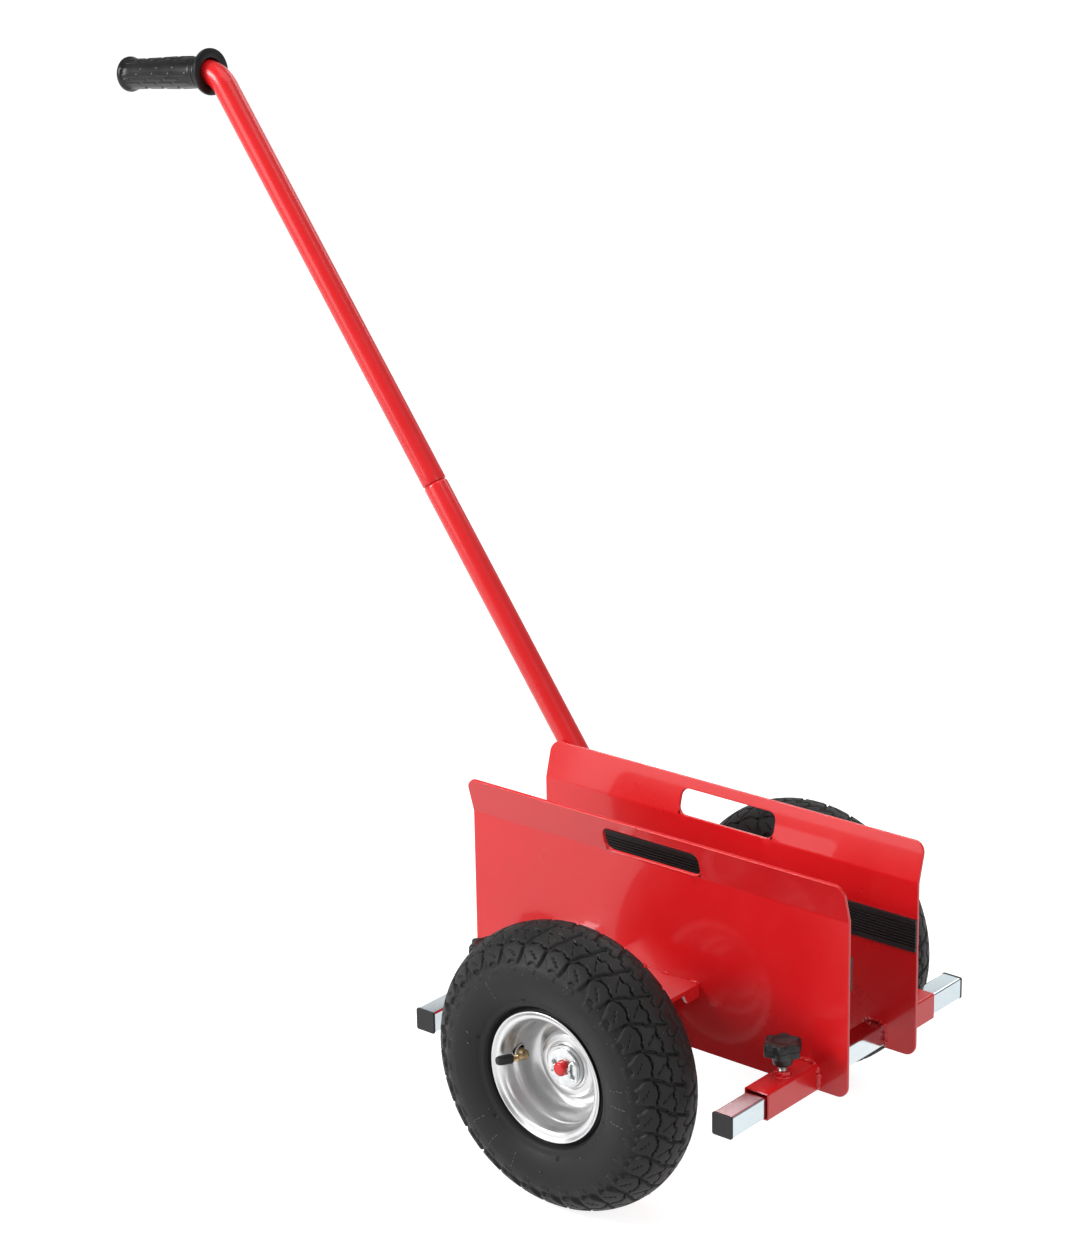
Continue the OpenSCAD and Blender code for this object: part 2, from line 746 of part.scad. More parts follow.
tyre(FAR);  // far_tyre
inner_tube(FAR);  // far_inner_tube
rim(FAR);  // far_rim
hub(FAR);  // far_hub
bearings(FAR);  // far_bearings
valve_stem(FAR);  // far_valve_stem
valve_cap(FAR);  // far_valve_cap
tyre(NEAR);  // near_tyre
inner_tube(NEAR);  // near_inner_tube
rim(NEAR);  // near_rim
hub(NEAR);  // near_hub
bearings(NEAR);  // near_bearings
valve_stem(NEAR);  // near_valve_stem
valve_cap(NEAR);  // near_valve_cap

handle_socket();
handle_bolt();
handle_nut();
handle_lower_tube();
handle_upper_tube();
handle_grip();
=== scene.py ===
import math

import bmesh
import bpy
import numpy as np
from mathutils import Matrix, Vector
from mathutils.geometry import delaunay_2d_cdt


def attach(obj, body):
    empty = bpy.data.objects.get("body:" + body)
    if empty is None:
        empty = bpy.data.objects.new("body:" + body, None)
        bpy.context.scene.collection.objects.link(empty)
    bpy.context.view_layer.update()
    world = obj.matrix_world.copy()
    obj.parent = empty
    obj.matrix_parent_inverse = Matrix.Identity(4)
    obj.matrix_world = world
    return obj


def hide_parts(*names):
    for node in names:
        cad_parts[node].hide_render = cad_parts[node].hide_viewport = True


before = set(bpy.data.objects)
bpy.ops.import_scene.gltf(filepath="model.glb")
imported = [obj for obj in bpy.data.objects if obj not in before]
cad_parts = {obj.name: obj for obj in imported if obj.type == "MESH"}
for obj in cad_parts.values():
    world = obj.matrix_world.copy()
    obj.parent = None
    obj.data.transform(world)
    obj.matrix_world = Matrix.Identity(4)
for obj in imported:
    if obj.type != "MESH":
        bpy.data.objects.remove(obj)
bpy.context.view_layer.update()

# ---------- sizes of the hand truck, in millimetres ----------

MM = 0.001
WHEEL_R = 130.0
TYRE_W = 85.0
RIM_R = 60.0
RIM_W = 61.0
WHEEL_Y = 176.0
AXLE_D = 12.7
AXLE_OUT = 12.0
PLATE_T = 3.0
PLATE_IN = 50.0
PLATE_OUT = PLATE_IN + PLATE_T
PLATE_Z = WHEEL_R - 18.5
PLATE_LEN = 415.0
PLATE_H = 200.0
CORNER_R = 11.0
FLARE_H = 35.0
FLARE_TURN = math.radians(15.6)
FOLD_R = 13.0
SLOT_LEN = 105.0
SLOT_W = 24.0
SLOT_R = 8.0
SLOT_RIM = 10.5
NOTCH_W = 22.0
NOTCH_H = 23.5
BAR_X = 165.0
SLEEVE_W = 25.0
SCREW_Y = 88.0
STUD_D = 8.0
THREAD_PITCH = 1.25
NUT_TOP = PLATE_Z + SLEEVE_W + 5.0
NECK_Z = NUT_TOP + 5.5
KNOB_Z = NECK_Z + 9.0
KNOB_H = 13.0
KNOB_R = 17.5
BRACKET_Y = 58.0
BRACKET_HALF = 50.0
BRACKET_TOP = 46.0
PIN_D = 2.8
PIN_OUT = 3.0 + 0.3 + 2.0 + 0.3 + PIN_D / 2
PIN_WIRE_R = 1.2
HANDLE_D = 24.0
HANDLE_WALL = 1.5
HANDLE_OUT = 27.0
HANDLE_Y = PLATE_OUT + HANDLE_OUT
HANDLE_LEAN = 35.86
HANDLE_FOOT = 152.0
HANDLE_BACK = 90.6
LOWER_LEN = 464.0
UPPER_LEN = 431.0
BEND_R = 30.0
GRIP_DROOP = 6.6
GRIP_TURN = 90.0 - HANDLE_LEAN + GRIP_DROOP
GRIP_LEN = 117.0
GUARD_BACK = 9.5
SOCKET_D = 29.0
SOCKET_LEN = 112.0
WELL_R = RIM_R - 12.5
WEB_R = WELL_R - 2.0
VALVE_Y = 8.5
VALVE_ANGLE = 5.0
VALVE_IN = 4.5
VALVE_BEND_R = 5.0
VALVE_TURN = 112.0
VALVE_TILT = -3.0
VALVE_TAIL = 12.0
VALVE_HOLE_R = 6.0

SIDES = {"far": 1.0, "near": -1.0}
ENDS = {"front": 1.0, "rear": -1.0}


# ---------- places ----------


def move(x, y, z):
    return Matrix.Translation((x, y, z))


def turn(degrees, axis):
    return Matrix.Rotation(math.radians(degrees), 4, axis)


def on_side(side):
    return Matrix.Diagonal((1.0, SIDES[side], 1.0, 1.0))


def on_wheel(side):
    return on_side(side) @ move(0, WHEEL_Y, WHEEL_R) @ turn(-90, "X")


def on_valve(side):
    return (
        on_side(side)
        @ move(0, WHEEL_Y + VALVE_Y, WHEEL_R)
        @ turn(VALVE_ANGLE, "Y")
        @ move(-WEB_R, 0, 0)
        @ turn(90, "Y")
        @ turn(-VALVE_TILT, "Z")
    )


def on_screw(side, end):
    return on_side(side) @ move(ENDS[end] * BAR_X, SCREW_Y, 0)


def on_handle():
    return move(-HANDLE_BACK, HANDLE_Y, HANDLE_FOOT) @ turn(-HANDLE_LEAN, "Y")


def on_grip():
    return (
        on_handle()
        @ move(-BEND_R, 0, LOWER_LEN + UPPER_LEN)
        @ turn(-GRIP_TURN, "Y")
        @ move(BEND_R, 0, 0)
    )


# ---------- meshes ----------


def smooth(mesh, sharp):
    """Shades the mesh smooth, apart from edges that turn more than sharp degrees."""
    mesh.polygons.foreach_set("use_smooth", [True] * len(mesh.polygons))
    mesh.set_sharp_from_angle(angle=math.radians(sharp))


def add_object(name, mesh, material, body, sharp=38.0):
    smooth(mesh, sharp)
    mesh.materials.clear()
    mesh.materials.append(material)
    piece = bpy.data.objects.new(name, mesh)
    bpy.context.scene.collection.objects.link(piece)
    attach(piece, body)
    return piece


def skin(name, rings, material, body, place=None, looped=False, sharp=38.0):
    """A surface through closed rings of points, in millimetres. A ring of no size closes an end."""
    rings = np.asarray(rings, float)
    count, around = rings.shape[:2]
    spans = count if looped else count - 1
    i = np.arange(spans)[:, None]
    j = np.arange(around)[None, :]
    i2, j2 = (i + 1) % count, (j + 1) % around
    quads = np.stack(
        [i * around + j, i2 * around + j, i2 * around + j2, i * around + j2], -1
    ).reshape(-1, 4)
    points = rings.reshape(-1, 3)
    if place is not None:
        m = np.array(place)
        points = points @ m[:3, :3].T + m[:3, 3]
    p = points[quads] - points.mean(0)
    volume = np.einsum("ij,ij->", p[:, 0], np.cross(p[:, 1], p[:, 2]))
    volume += np.einsum("ij,ij->", p[:, 0], np.cross(p[:, 2], p[:, 3]))
    if volume < 0:
        quads = quads[:, ::-1]
    mesh = bpy.data.meshes.new(name)
    mesh.from_pydata((points * MM).tolist(), [], quads.tolist())
    if not looped:
        bm = bmesh.new()
        bm.from_mesh(mesh)
        bmesh.ops.remove_doubles(bm, verts=bm.verts, dist=1e-7)
        bm.to_mesh(mesh)
        bm.free()
    mesh.validate()
    return add_object(name, mesh, material, body, sharp=sharp)


def circle(segments):
    a = np.linspace(0, 2 * np.pi, segments, endpoint=False)
    return np.stack([np.cos(a), np.sin(a)], -1)


def turned_rings(profile, segments):
    """Rings about Z through a profile of (radius, height) points."""
    c = circle(segments)
    profile = np.asarray(profile, float)
    rings = np.zeros((len(profile), segments, 3))
    rings[:, :, :2] = profile[:, 0, None, None] * c[None]
    rings[:, :, 2] = profile[:, 1, None]
    return rings


def turned(name, profile, material, body, place, segments=96, looped=False, sharp=38.0):
    rings = turned_rings(profile, segments)
    return skin(name, rings, material, body, place, looped, sharp)


def softened(points, rounds=2, closed=False):
    """The same line with its corners cut, once a round."""
    p = np.asarray(points, float)
    for _ in range(rounds):
        q = np.vstack([p, p[:1]]) if closed else p
        a, b = q[:-1], q[1:]
        cut = np.empty((2 * len(a), p.shape[1]))
        cut[0::2] = 0.75 * a + 0.25 * b
        cut[1::2] = 0.25 * a + 0.75 * b
        p = cut if closed else np.vstack([p[:1], cut[1:-1], p[-1:]])
    return p


def spaced(points, gap):
    """Points a fixed gap apart along a line, and their distances along it."""
    p = np.asarray(points, float)
    d = np.r_[0, np.cumsum(np.linalg.norm(np.diff(p, axis=0), axis=1))]
    n = max(2, int(round(d[-1] / gap)) + 1)
    s = np.linspace(0, d[-1], n)
    return np.stack([np.interp(s, d, p[:, k]) for k in range(3)], -1), s


def swept_rings(path, radii, segments):
    """Rings of the given radii along a path."""
    path = np.asarray(path, float)
    tangent = np.gradient(path, axis=0)
    tangent /= np.linalg.norm(tangent, axis=1)[:, None]
    start = np.array([0.0, 1.0, 0.0])
    if abs(tangent[0] @ start) > 0.9:
        start = np.array([1.0, 0.0, 0.0])
    side = start - (start @ tangent[0]) * tangent[0]
    c = circle(segments)
    rings = np.zeros((len(path), segments, 3))
    for k, t in enumerate(tangent):
        side = side - (side @ t) * t
        side = side / np.linalg.norm(side)
        other = np.cross(t, side)
        rings[k] = path[k] + radii[k] * (c[:, :1] * side + c[:, 1:] * other)
    return rings


def swept(name, path, radii, material, body, place=None, segments=24, looped=False, sharp=50.0):
    rings = swept_rings(path, np.broadcast_to(radii, (len(path),)), segments)
    if not looped:
        first = np.repeat(rings[:1].mean(1, keepdims=True), segments, 1)
        last = np.repeat(rings[-1:].mean(1, keepdims=True), segments, 1)
        rings = np.concatenate([first, rings, last])
    return skin(name, rings, material, body, place, looped, sharp)


def weld(name, path, material, body, place=None, size=2.3, looped=False, seed=1):
    """A rippled weld bead along a line."""
    ripple_len = 2.3
    points, s = spaced(path, 0.55)
    rng = np.random.default_rng(seed)
    ripple = np.abs(np.sin(np.pi * s / ripple_len))
    radii = size * (0.80 + 0.16 * ripple + 0.05 * rng.standard_normal(len(s)))
    points = points + rng.normal(0, 0.10, points.shape)
    if looped:
        points, radii = points[:-1], radii[:-1]
    else:
        ends = np.clip(np.minimum(s, s[-1] - s) / size, 0, 1)
        radii = radii * np.sqrt(0.15 + 0.85 * ends)
    return swept(name, points, radii, material, body, place, 14, looped, 180.0)


def finished(node, material, body, bevel=0.8, limit=25.0, segments=3, sharp=35.0):
    """A CAD piece with its edges rounded, shown in place of the node."""
    bm = bmesh.new()
    bm.from_mesh(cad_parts[node].data)
    bmesh.ops.remove_doubles(bm, verts=bm.verts, dist=2e-6)
    bmesh.ops.dissolve_limit(bm, angle_limit=math.radians(0.6), verts=bm.verts, edges=bm.edges)
    bend = math.radians(limit)
    bmesh.ops.bevel(
        bm,
        geom=[e for e in bm.edges if e.is_manifold and e.calc_face_angle(0) > bend],
        offset=bevel * MM,
        offset_type="OFFSET",
        segments=segments,
        profile=0.5,
        affect="EDGES",
        clamp_overlap=True,
        face_strength_mode="ALL",
    )
    mesh = bpy.data.meshes.new(node + "_skin")
    bm.to_mesh(mesh)
    bm.free()
    mesh.validate()
    piece = add_object(node + "_skin", mesh, material, body, sharp=sharp)
    even = piece.modifiers.new("even", "WEIGHTED_NORMAL")
    even.keep_sharp = True
    even.use_face_influence = True
    even.weight = 100
    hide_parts(node)


def shown(node, material):
    """A CAD piece shown as it is, with a finish."""
    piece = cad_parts[node]
    piece.data.materials.clear()
    piece.data.materials.append(material)


def cut(piece, cutter):
    """Takes the cutter's shape out of the piece's own mesh."""
    tool = piece.modifiers.new("cut", "BOOLEAN")
    tool.object = cutter
    tool.solver = "EXACT"
    graph = bpy.context.evaluated_depsgraph_get()
    mesh = bpy.data.meshes.new_from_object(piece.evaluated_get(graph))
    piece.modifiers.remove(tool)
    piece.data = mesh
    bpy.data.objects.remove(cutter)


# ---------- finishes ----------


class Finish:
    """A procedural material. Its textures are set out in metres, in the object's own frame."""

    def __init__(self, name, slot, metallic=0.0, ior=1.5, coat=0.0, coat_roughness=0.05):
        self.material = bpy.data.materials.new(name)
        self.material.use_nodes = True
        self.material["slot"] = slot
        self.tree = self.material.node_tree
        self.tree.nodes.clear()
        self.out = self.tree.nodes.new("ShaderNodeOutputMaterial")
        self.shader = self.tree.nodes.new("ShaderNodeBsdfPrincipled")
        self.tree.links.new(self.shader.outputs[0], self.out.inputs[0])
        self.shader.inputs["Metallic"].default_value = metallic
        self.shader.inputs["IOR"].default_value = ior
        self.shader.inputs["Coat Weight"].default_value = coat
        self.shader.inputs["Coat Roughness"].default_value = coat_roughness
        self.place = self.tree.nodes.new("ShaderNodeTexCoord").outputs["Object"]

    def put(self, value, socket):
        """Links a socket, or sets a number, or sets a colour of three numbers."""
        if isinstance(value, bpy.types.NodeSocket):
            self.tree.links.new(value, socket)
        else:
            socket.default_value = (*value, 1.0) if isinstance(value, tuple) else value

    def stretched(self, x, y, z):
        node = self.tree.nodes.new("ShaderNodeMapping")
        node.inputs["Scale"].default_value = (x, y, z)
        self.tree.links.new(self.place, node.inputs[0])
        return node.outputs[0]

    def noise(self, scale, detail=3.0, rough=0.55, place=None, twist=0.0):
        node = self.tree.nodes.new("ShaderNodeTexNoise")
        node.inputs["Scale"].default_value = scale
        node.inputs["Detail"].default_value = detail
        node.inputs["Roughness"].default_value = rough
        node.inputs["Distortion"].default_value = twist
        self.tree.links.new(place or self.place, node.inputs["Vector"])
        return node.outputs["Fac"]

    def cells(self, scale):
        node = self.tree.nodes.new("ShaderNodeTexVoronoi")
        node.inputs["Scale"].default_value = scale
        self.tree.links.new(self.place, node.inputs["Vector"])
        return node.outputs["Distance"]

    def span(self, value, low, high, to_low=0.0, to_high=1.0):
        node = self.tree.nodes.new("ShaderNodeMapRange")
        self.put(value, node.inputs[0])
        for k, number in enumerate((low, high, to_low, to_high)):
            node.inputs[k + 1].default_value = number
        return node.outputs[0]

    def maths(self, kind, a, b=0.0):
        node = self.tree.nodes.new("ShaderNodeMath")
        node.operation = kind
        self.put(a, node.inputs[0])
        self.put(b, node.inputs[1])
        return node.outputs[0]

    def blend(self, share, a, b):
        node = self.tree.nodes.new("ShaderNodeMix")
        node.data_type = "RGBA"
        # sockets 6, 7 and 2 are the colour ones
        for value, socket in ((share, 0), (a, 6), (b, 7)):
            self.put(value, node.inputs[socket])
        return node.outputs[2]

    def axis(self, name):
        node = self.tree.nodes.new("ShaderNodeSeparateXYZ")
        self.tree.links.new(self.place, node.inputs[0])
        return node.outputs[name]

    def bump(self, height, depth, strength):
        node = self.tree.nodes.new("ShaderNodeBump")
        node.inputs["Strength"].default_value = strength
        node.inputs["Distance"].default_value = depth
        self.put(height, node.inputs["Height"])
        return node.outputs[0]

    def done(self, color, roughness, normal=None):
        self.put(color, self.shader.inputs["Base Color"])
        self.put(roughness, self.shader.inputs["Roughness"])
        if normal is not None:
            self.tree.links.new(normal, self.shader.inputs["Normal"])
        return self.material


def red_paint():
    f = Finish("red_powder_coat", "red_paint", ior=1.40, coat=0.35, coat_roughness=0.06)
    cloud = f.noise(9.0, 3.0)
    fine = f.noise(900.0, 2.0)
    peel = f.noise(260.0, 2.0, 0.5)
    wear = f.span(f.noise(38.0, 5.0, 0.65), 0.5, 0.72)
    color = f.blend(f.span(cloud, 0.3, 0.7), (0.66, 0.0070, 0.0100), (0.72, 0.0090, 0.0125))
    color = f.blend(f.maths("MULTIPLY", wear, 0.05), color, (0.78, 0.05, 0.05))
    dust = f.maths("MULTIPLY", f.span(fine, 0.70, 0.82), 0.06)
    color = f.blend(dust, color, (0.78, 0.22, 0.20))
    rough = f.span(cloud, 0.3, 0.7, 0.26, 0.33)
    rough = f.maths("ADD", rough, f.maths("MULTIPLY", wear, 0.06))
    return f.done(color, rough, f.bump(peel, 0.00003, strength=0.2))


def zinc_bar():
    f = Finish("bright_zinc_bar", "zinc_bar", metallic=1.0)
    drawn = f.noise(260.0, 4.0, 0.6, f.stretched(1.0, 0.03, 1.0))
    cloud = f.noise(26.0, 4.0, 0.6, f.stretched(1.0, 0.45, 1.0), 0.8)
    spot = f.span(f.cells(120.0), 0.06, 0.0)
    color = f.blend(f.span(cloud, 0.35, 0.65), (0.54, 0.62, 0.655), (0.66, 0.715, 0.735))
    color = f.blend(f.maths("MULTIPLY", spot, 0.5), color, (0.52, 0.55, 0.56))
    scratch = f.span(f.noise(500.0, 3.0, 0.6, f.stretched(1.0, 0.02, 1.0), 0.2), 0.64, 0.72)
    color = f.blend(f.maths("MULTIPLY", scratch, 0.35), color, (0.62, 0.66, 0.68))
    rough = f.span(cloud, 0.3, 0.7, 0.07, 0.14)
    rough = f.maths("ADD", rough, f.maths("MULTIPLY", scratch, 0.10))
    normal = f.bump(drawn, 0.00002, strength=0.15)
    return f.done(color, rough, normal)


def zinc():
    f = Finish("bright_zinc_fittings", "zinc", metallic=1.0)
    cloud = f.noise(120.0, 4.0, 0.6, twist=0.5)
    grain = f.noise(900.0, 3.0)
    color = f.blend(f.span(cloud, 0.35, 0.65), (0.52, 0.55, 0.57), (0.70, 0.71, 0.70))
    color = f.blend(f.maths("MULTIPLY", f.span(grain, 0.62, 0.75), 0.3), color, (0.45, 0.44, 0.42))
    rough = f.span(cloud, 0.3, 0.7, 0.22, 0.38)
    return f.done(color, rough, f.bump(grain, 0.00005, strength=0.4))


def silver_paint():
    f = Finish("silver_wheel_paint", "silver_paint", metallic=0.85, coat=0.2, coat_roughness=0.16)
    cloud = f.noise(34.0, 4.0, 0.55, twist=0.4)
    flake = f.cells(2600.0)
    fine = f.noise(700.0, 3.0)
    color = f.blend(f.span(cloud, 0.3, 0.7), (0.56, 0.56, 0.565), (0.66, 0.66, 0.665))
    color = f.blend(f.maths("MULTIPLY", f.span(flake, 0.34, 0.12), 0.30), color, (0.80, 0.80, 0.81))
    color = f.blend(f.maths("MULTIPLY", f.span(fine, 0.64, 0.78), 0.25), color, (0.30, 0.29, 0.28))
    rough = f.span(cloud, 0.3, 0.7, 0.27, 0.36)
    return f.done(color, rough, f.bump(fine, 0.00004, strength=0.35))


def bearing_steel():
    f = Finish("bearing_steel", "bearing_steel", metallic=1.0)
    grain = f.noise(400.0, 4.0)
    color = f.blend(grain, (0.42, 0.43, 0.45), (0.62, 0.63, 0.65))
    return f.done(color, f.span(grain, 0.3, 0.7, 0.2, 0.35), f.bump(grain, 0.00003, strength=0.3))


def brass():
    f = Finish("dull_brass", "brass", metallic=1.0)
    cloud = f.noise(240.0, 4.0, 0.6, twist=0.7)
    color = f.blend(f.span(cloud, 0.35, 0.65), (0.36, 0.24, 0.12), (0.66, 0.52, 0.30))
    return f.done(color, f.span(cloud, 0.3, 0.7, 0.28, 0.5), f.bump(cloud, 0.00006, strength=0.4))


def tyre_rubber():
    f = Finish("tyre_rubber", "tyre_rubber", ior=1.34)
    cloud = f.noise(22.0, 5.0, 0.6)
    grain = f.noise(1100.0, 3.0, 0.6)
    x = f.axis("X")
    z = f.maths("SUBTRACT", f.axis("Z"), WHEEL_R * MM)
    reach = f.maths("SQRT", f.maths("ADD", f.maths("MULTIPLY", x, x), f.maths("MULTIPLY", z, z)))
    tread = f.span(reach, 0.108, 0.126)
    color = f.blend(f.span(cloud, 0.3, 0.7), (0.0075, 0.0076, 0.0082), (0.0125, 0.0127, 0.0134))
    # painted reflection and dust: a brownish tint in patches over the tread band, standing in for the red
    # plates' reflection in the rubber as well as for dust
    dust_and_painted_reflection = f.maths("MULTIPLY", tread, f.span(f.noise(45.0, 4.0), 0.42, 0.72))
    color = f.blend(f.maths("MULTIPLY", dust_and_painted_reflection, 0.45), color, (0.034, 0.025, 0.023))
    dust = f.span(f.noise(420.0, 5.0, 0.7), 0.63, 0.80)
    color = f.blend(f.maths("MULTIPLY", dust, 0.20), color, (0.085, 0.083, 0.080))
    rough = f.span(cloud, 0.3, 0.7, 0.50, 0.64)
    return f.done(color, rough, f.bump(grain, 0.00010, strength=0.3))


def plain_rubber(name, slot, dark, light, low, high, size=900.0):
    """Black rubber or plastic: its darkest and lightest tone, its roughness, and its grain's scale."""
    f = Finish(name, slot, ior=1.36)
    cloud = f.noise(40.0, 4.0, 0.6)
    grain = f.noise(size, 3.0, 0.6)
    color = f.blend(f.span(cloud, 0.3, 0.7), dark, light)
    dust = f.span(f.noise(350.0, 5.0, 0.7), 0.66, 0.82)
    color = f.blend(f.maths("MULTIPLY", dust, 0.10), color, (0.05, 0.05, 0.05))
    rough = f.span(cloud, 0.3, 0.7, low, high)
    return f.done(color, rough, f.bump(grain, 0.00006, strength=0.2))


def flash_rubber():
    f = Finish("rubber_flash", "tyre_rubber")
    tone = f.noise(300.0, 3.0)
    color = f.blend(tone, (0.10, 0.10, 0.10), (0.34, 0.34, 0.33))
    return f.done(color, f.span(tone, 0.3, 0.7, 0.45, 0.6), f.bump(tone, 0.00004, strength=0.3))


RED = red_paint()
BAR = zinc_bar()
ZINC = zinc()
SILVER = silver_paint()
STEEL = bearing_steel()
BRASS = brass()
TYRE = tyre_rubber()
FLASH = flash_rubber()
TUBE = plain_rubber(
    "inner_tube_rubber", "tube_rubber", (0.014, 0.014, 0.015), (0.024, 0.024, 0.025), 0.55, 0.7
)
RIBBED = plain_rubber(
    "ribbed_rubber", "ribbed_rubber", (0.005, 0.005, 0.0055), (0.010, 0.010, 0.0105), 0.42, 0.55
)
GRIP = plain_rubber(
    "grip_rubber", "grip_rubber", (0.0045, 0.0047, 0.0050), (0.0080, 0.0083, 0.0088), 0.28, 0.40, 700.0
)
PLASTIC = plain_rubber(
    "black_plastic", "black_plastic", (0.0110, 0.0110, 0.0115), (0.0190, 0.0190, 0.0195), 0.36, 0.48, 600.0
)


# ---------- tyres ----------


def step(x, edge, soft):
    """From 0 to 1 across the edge, over twice the soft distance."""
    t = np.clip((x - edge + soft) / (2 * soft), 0, 1)
    return t * t * (3 - 2 * t)


def band(x, low, high, soft):
    """1 between low and high, and 0 outside them."""
    return step(x, low, soft) * (1 - step(x, high, soft))


def wave(u):
    """Zigzag between -1 and 1, once per unit."""
    return 4 * np.abs((u % 1.0) - 0.5) - 1


# Half the height of the tyre's round section, the radius of its centre, and the radius where it meets the rim
TYRE_DEPTH = (WHEEL_R - RIM_R) * 0.557
SECTION_R = WHEEL_R - TYRE_DEPTH
LOW_R = RIM_R + 6


def section():
    """Half of the tyre's outer section: distance from the crown, point and outward normal."""
    end = math.acos((LOW_R - SECTION_R) / TYRE_DEPTH)
    a = np.linspace(0, end, 2000)
    p = np.stack([SECTION_R + TYRE_DEPTH * np.cos(a), TYRE_W / 2 * np.sin(a)], -1)
    n = np.stack([np.cos(a) / TYRE_DEPTH, np.sin(a) / (TYRE_W / 2)], -1)
    n /= np.linalg.norm(n, axis=1)[:, None]
    s = np.r_[0, np.cumsum(np.linalg.norm(np.diff(p, axis=0), axis=1))]
    return s, p, n


ARC_S, ARC_P, ARC_N = section()
ARC_END = ARC_S[-1]
PITCHES = 30
PITCH = 2 * np.pi * WHEEL_R / PITCHES


def mm(size):
    """Millimetres round the tread, counted in pitches."""
    return size / PITCH


def tread_depth(u, s):
    """How far the rubber lies under the tyre's full section, in millimetres.
    u counts pitches round the tyre and s is the distance from the crown, to either side."""
    side = np.where(s >= 0, 1.0, -1.0)
    d = np.abs(s)
    v = u + np.where(side > 0, 0.0, 0.5)
    # zigzag groove on the centre line
    line = 2.4 * (2 * step(wave(u * 2), 0.0, 0.35) - 1)
    centre = 1 - band(s - line, -0.8, 0.8, 0.45)
    # cross grooves of the centre blocks
    c_at = ((v + 0.25 + 0.016 * d) % 1.0) - 0.5
    cross = 1 - band(c_at, -mm(1.2), mm(1.2), mm(0.5)) * step(12.5 - d, 0, 0.5)
    # zigzag groove beside the centre blocks
    edge = 12.6 + 1.1 * (2 * step(wave(v * 2 + 0.2), 0.0, 0.35) - 1)
    ring = 1 - band(d - edge, -0.75, 0.75, 0.45)
    # middle blocks, with a stepped cross groove and a short sipe
    m_at = ((v + 0.55 + 0.02 * (d - 20) + 0.05 * step(d, 20, 1.0)) % 1.0) - 0.5
    middle = 1 - band(m_at, -mm(1.5), mm(1.5), mm(0.5)) * band(d, 12.5, 29, 0.6)
    sipe_at = ((v + 0.05 - 0.03 * (d - 20)) % 1.0) - 0.5
    sipe = 1 - 0.55 * band(sipe_at, -mm(0.7), mm(0.7), mm(0.5)) * band(d, 16, 25, 0.6)
    # zigzag groove along the shoulder
    edge2 = 28.6 + 1.3 * (2 * step(wave(v + 0.35), 0.0, 0.25) - 1) + 0.4 * wave(v * 3)
    ring2 = 1 - band(d - edge2, -0.75, 0.75, 0.45)
    # channels between the shoulder lugs: narrow at the tread, wide at the side wall
    bend = 0.05 * np.sin((d - 30) * 0.32)
    s_at = ((v + 0.80 + bend) % 1.0) - 0.5
    half = mm(1.3 + 4.0 * step(d, 41, 5.0))
    channel = 1 - band(s_at, -half, half, mm(0.8)) * step(d, 28.5, 0.6)
    # stepped sipe across each lug
    n_at = ((v + 0.32) % 1.0) - 0.5
    stair = 35.2 + 2.6 * step(n_at, -0.06, 0.015) + 2.6 * step(n_at, 0.10, 0.015)
    notch = 1 - 0.55 * band(d - stair, -0.55, 0.55, 0.4) * band(n_at, -0.17, 0.21, mm(0.5))
    # lugs end on the side wall, with a cut corner
    ends = 47.5 - 2.6 * step(np.abs(s_at), 0.36, 0.05) - 1.6 * step(-n_at, 0.20, 0.04)
    lug = 1 - step(d, ends, 0.7)
    top = centre * cross * ring * middle * sipe * ring2 * channel * notch * lug
    # thin ledges just inside the lugs
    l_at = ((v + 0.27) % 1.0) - 0.5
    ledge = 0.42 * band(l_at, -0.17, 0.20, mm(0.6)) * band(d, 50.2, 55.0, 0.5)
    deep = 2.5 + 0.3 * step(d, 30, 4) - 1.2 * step(d, 47, 4.5)
    depth = deep * (1 - np.maximum(top, ledge))
    # side wall: fine rings near the bead
    depth = depth - 0.45 * band(d, 61.6, 62.6, 0.5) - 0.5 * band(d, 88.0, 89.3, 0.5)
    return depth * (1 - step(d, ARC_END - 1.6, 1.4)) + 0.02


def tyre_rows():
    """Distances from the crown at which the tyre's section is sampled, close where the tread is."""
    tread, wall, rings = np.arange(0.5, 57, 1.0), np.arange(58, 81, 2.3), np.arange(81.5, 90, 0.85)
    half = np.r_[tread, wall, rings, ARC_END - 1, ARC_END]
    return np.r_[-half[::-1], half]


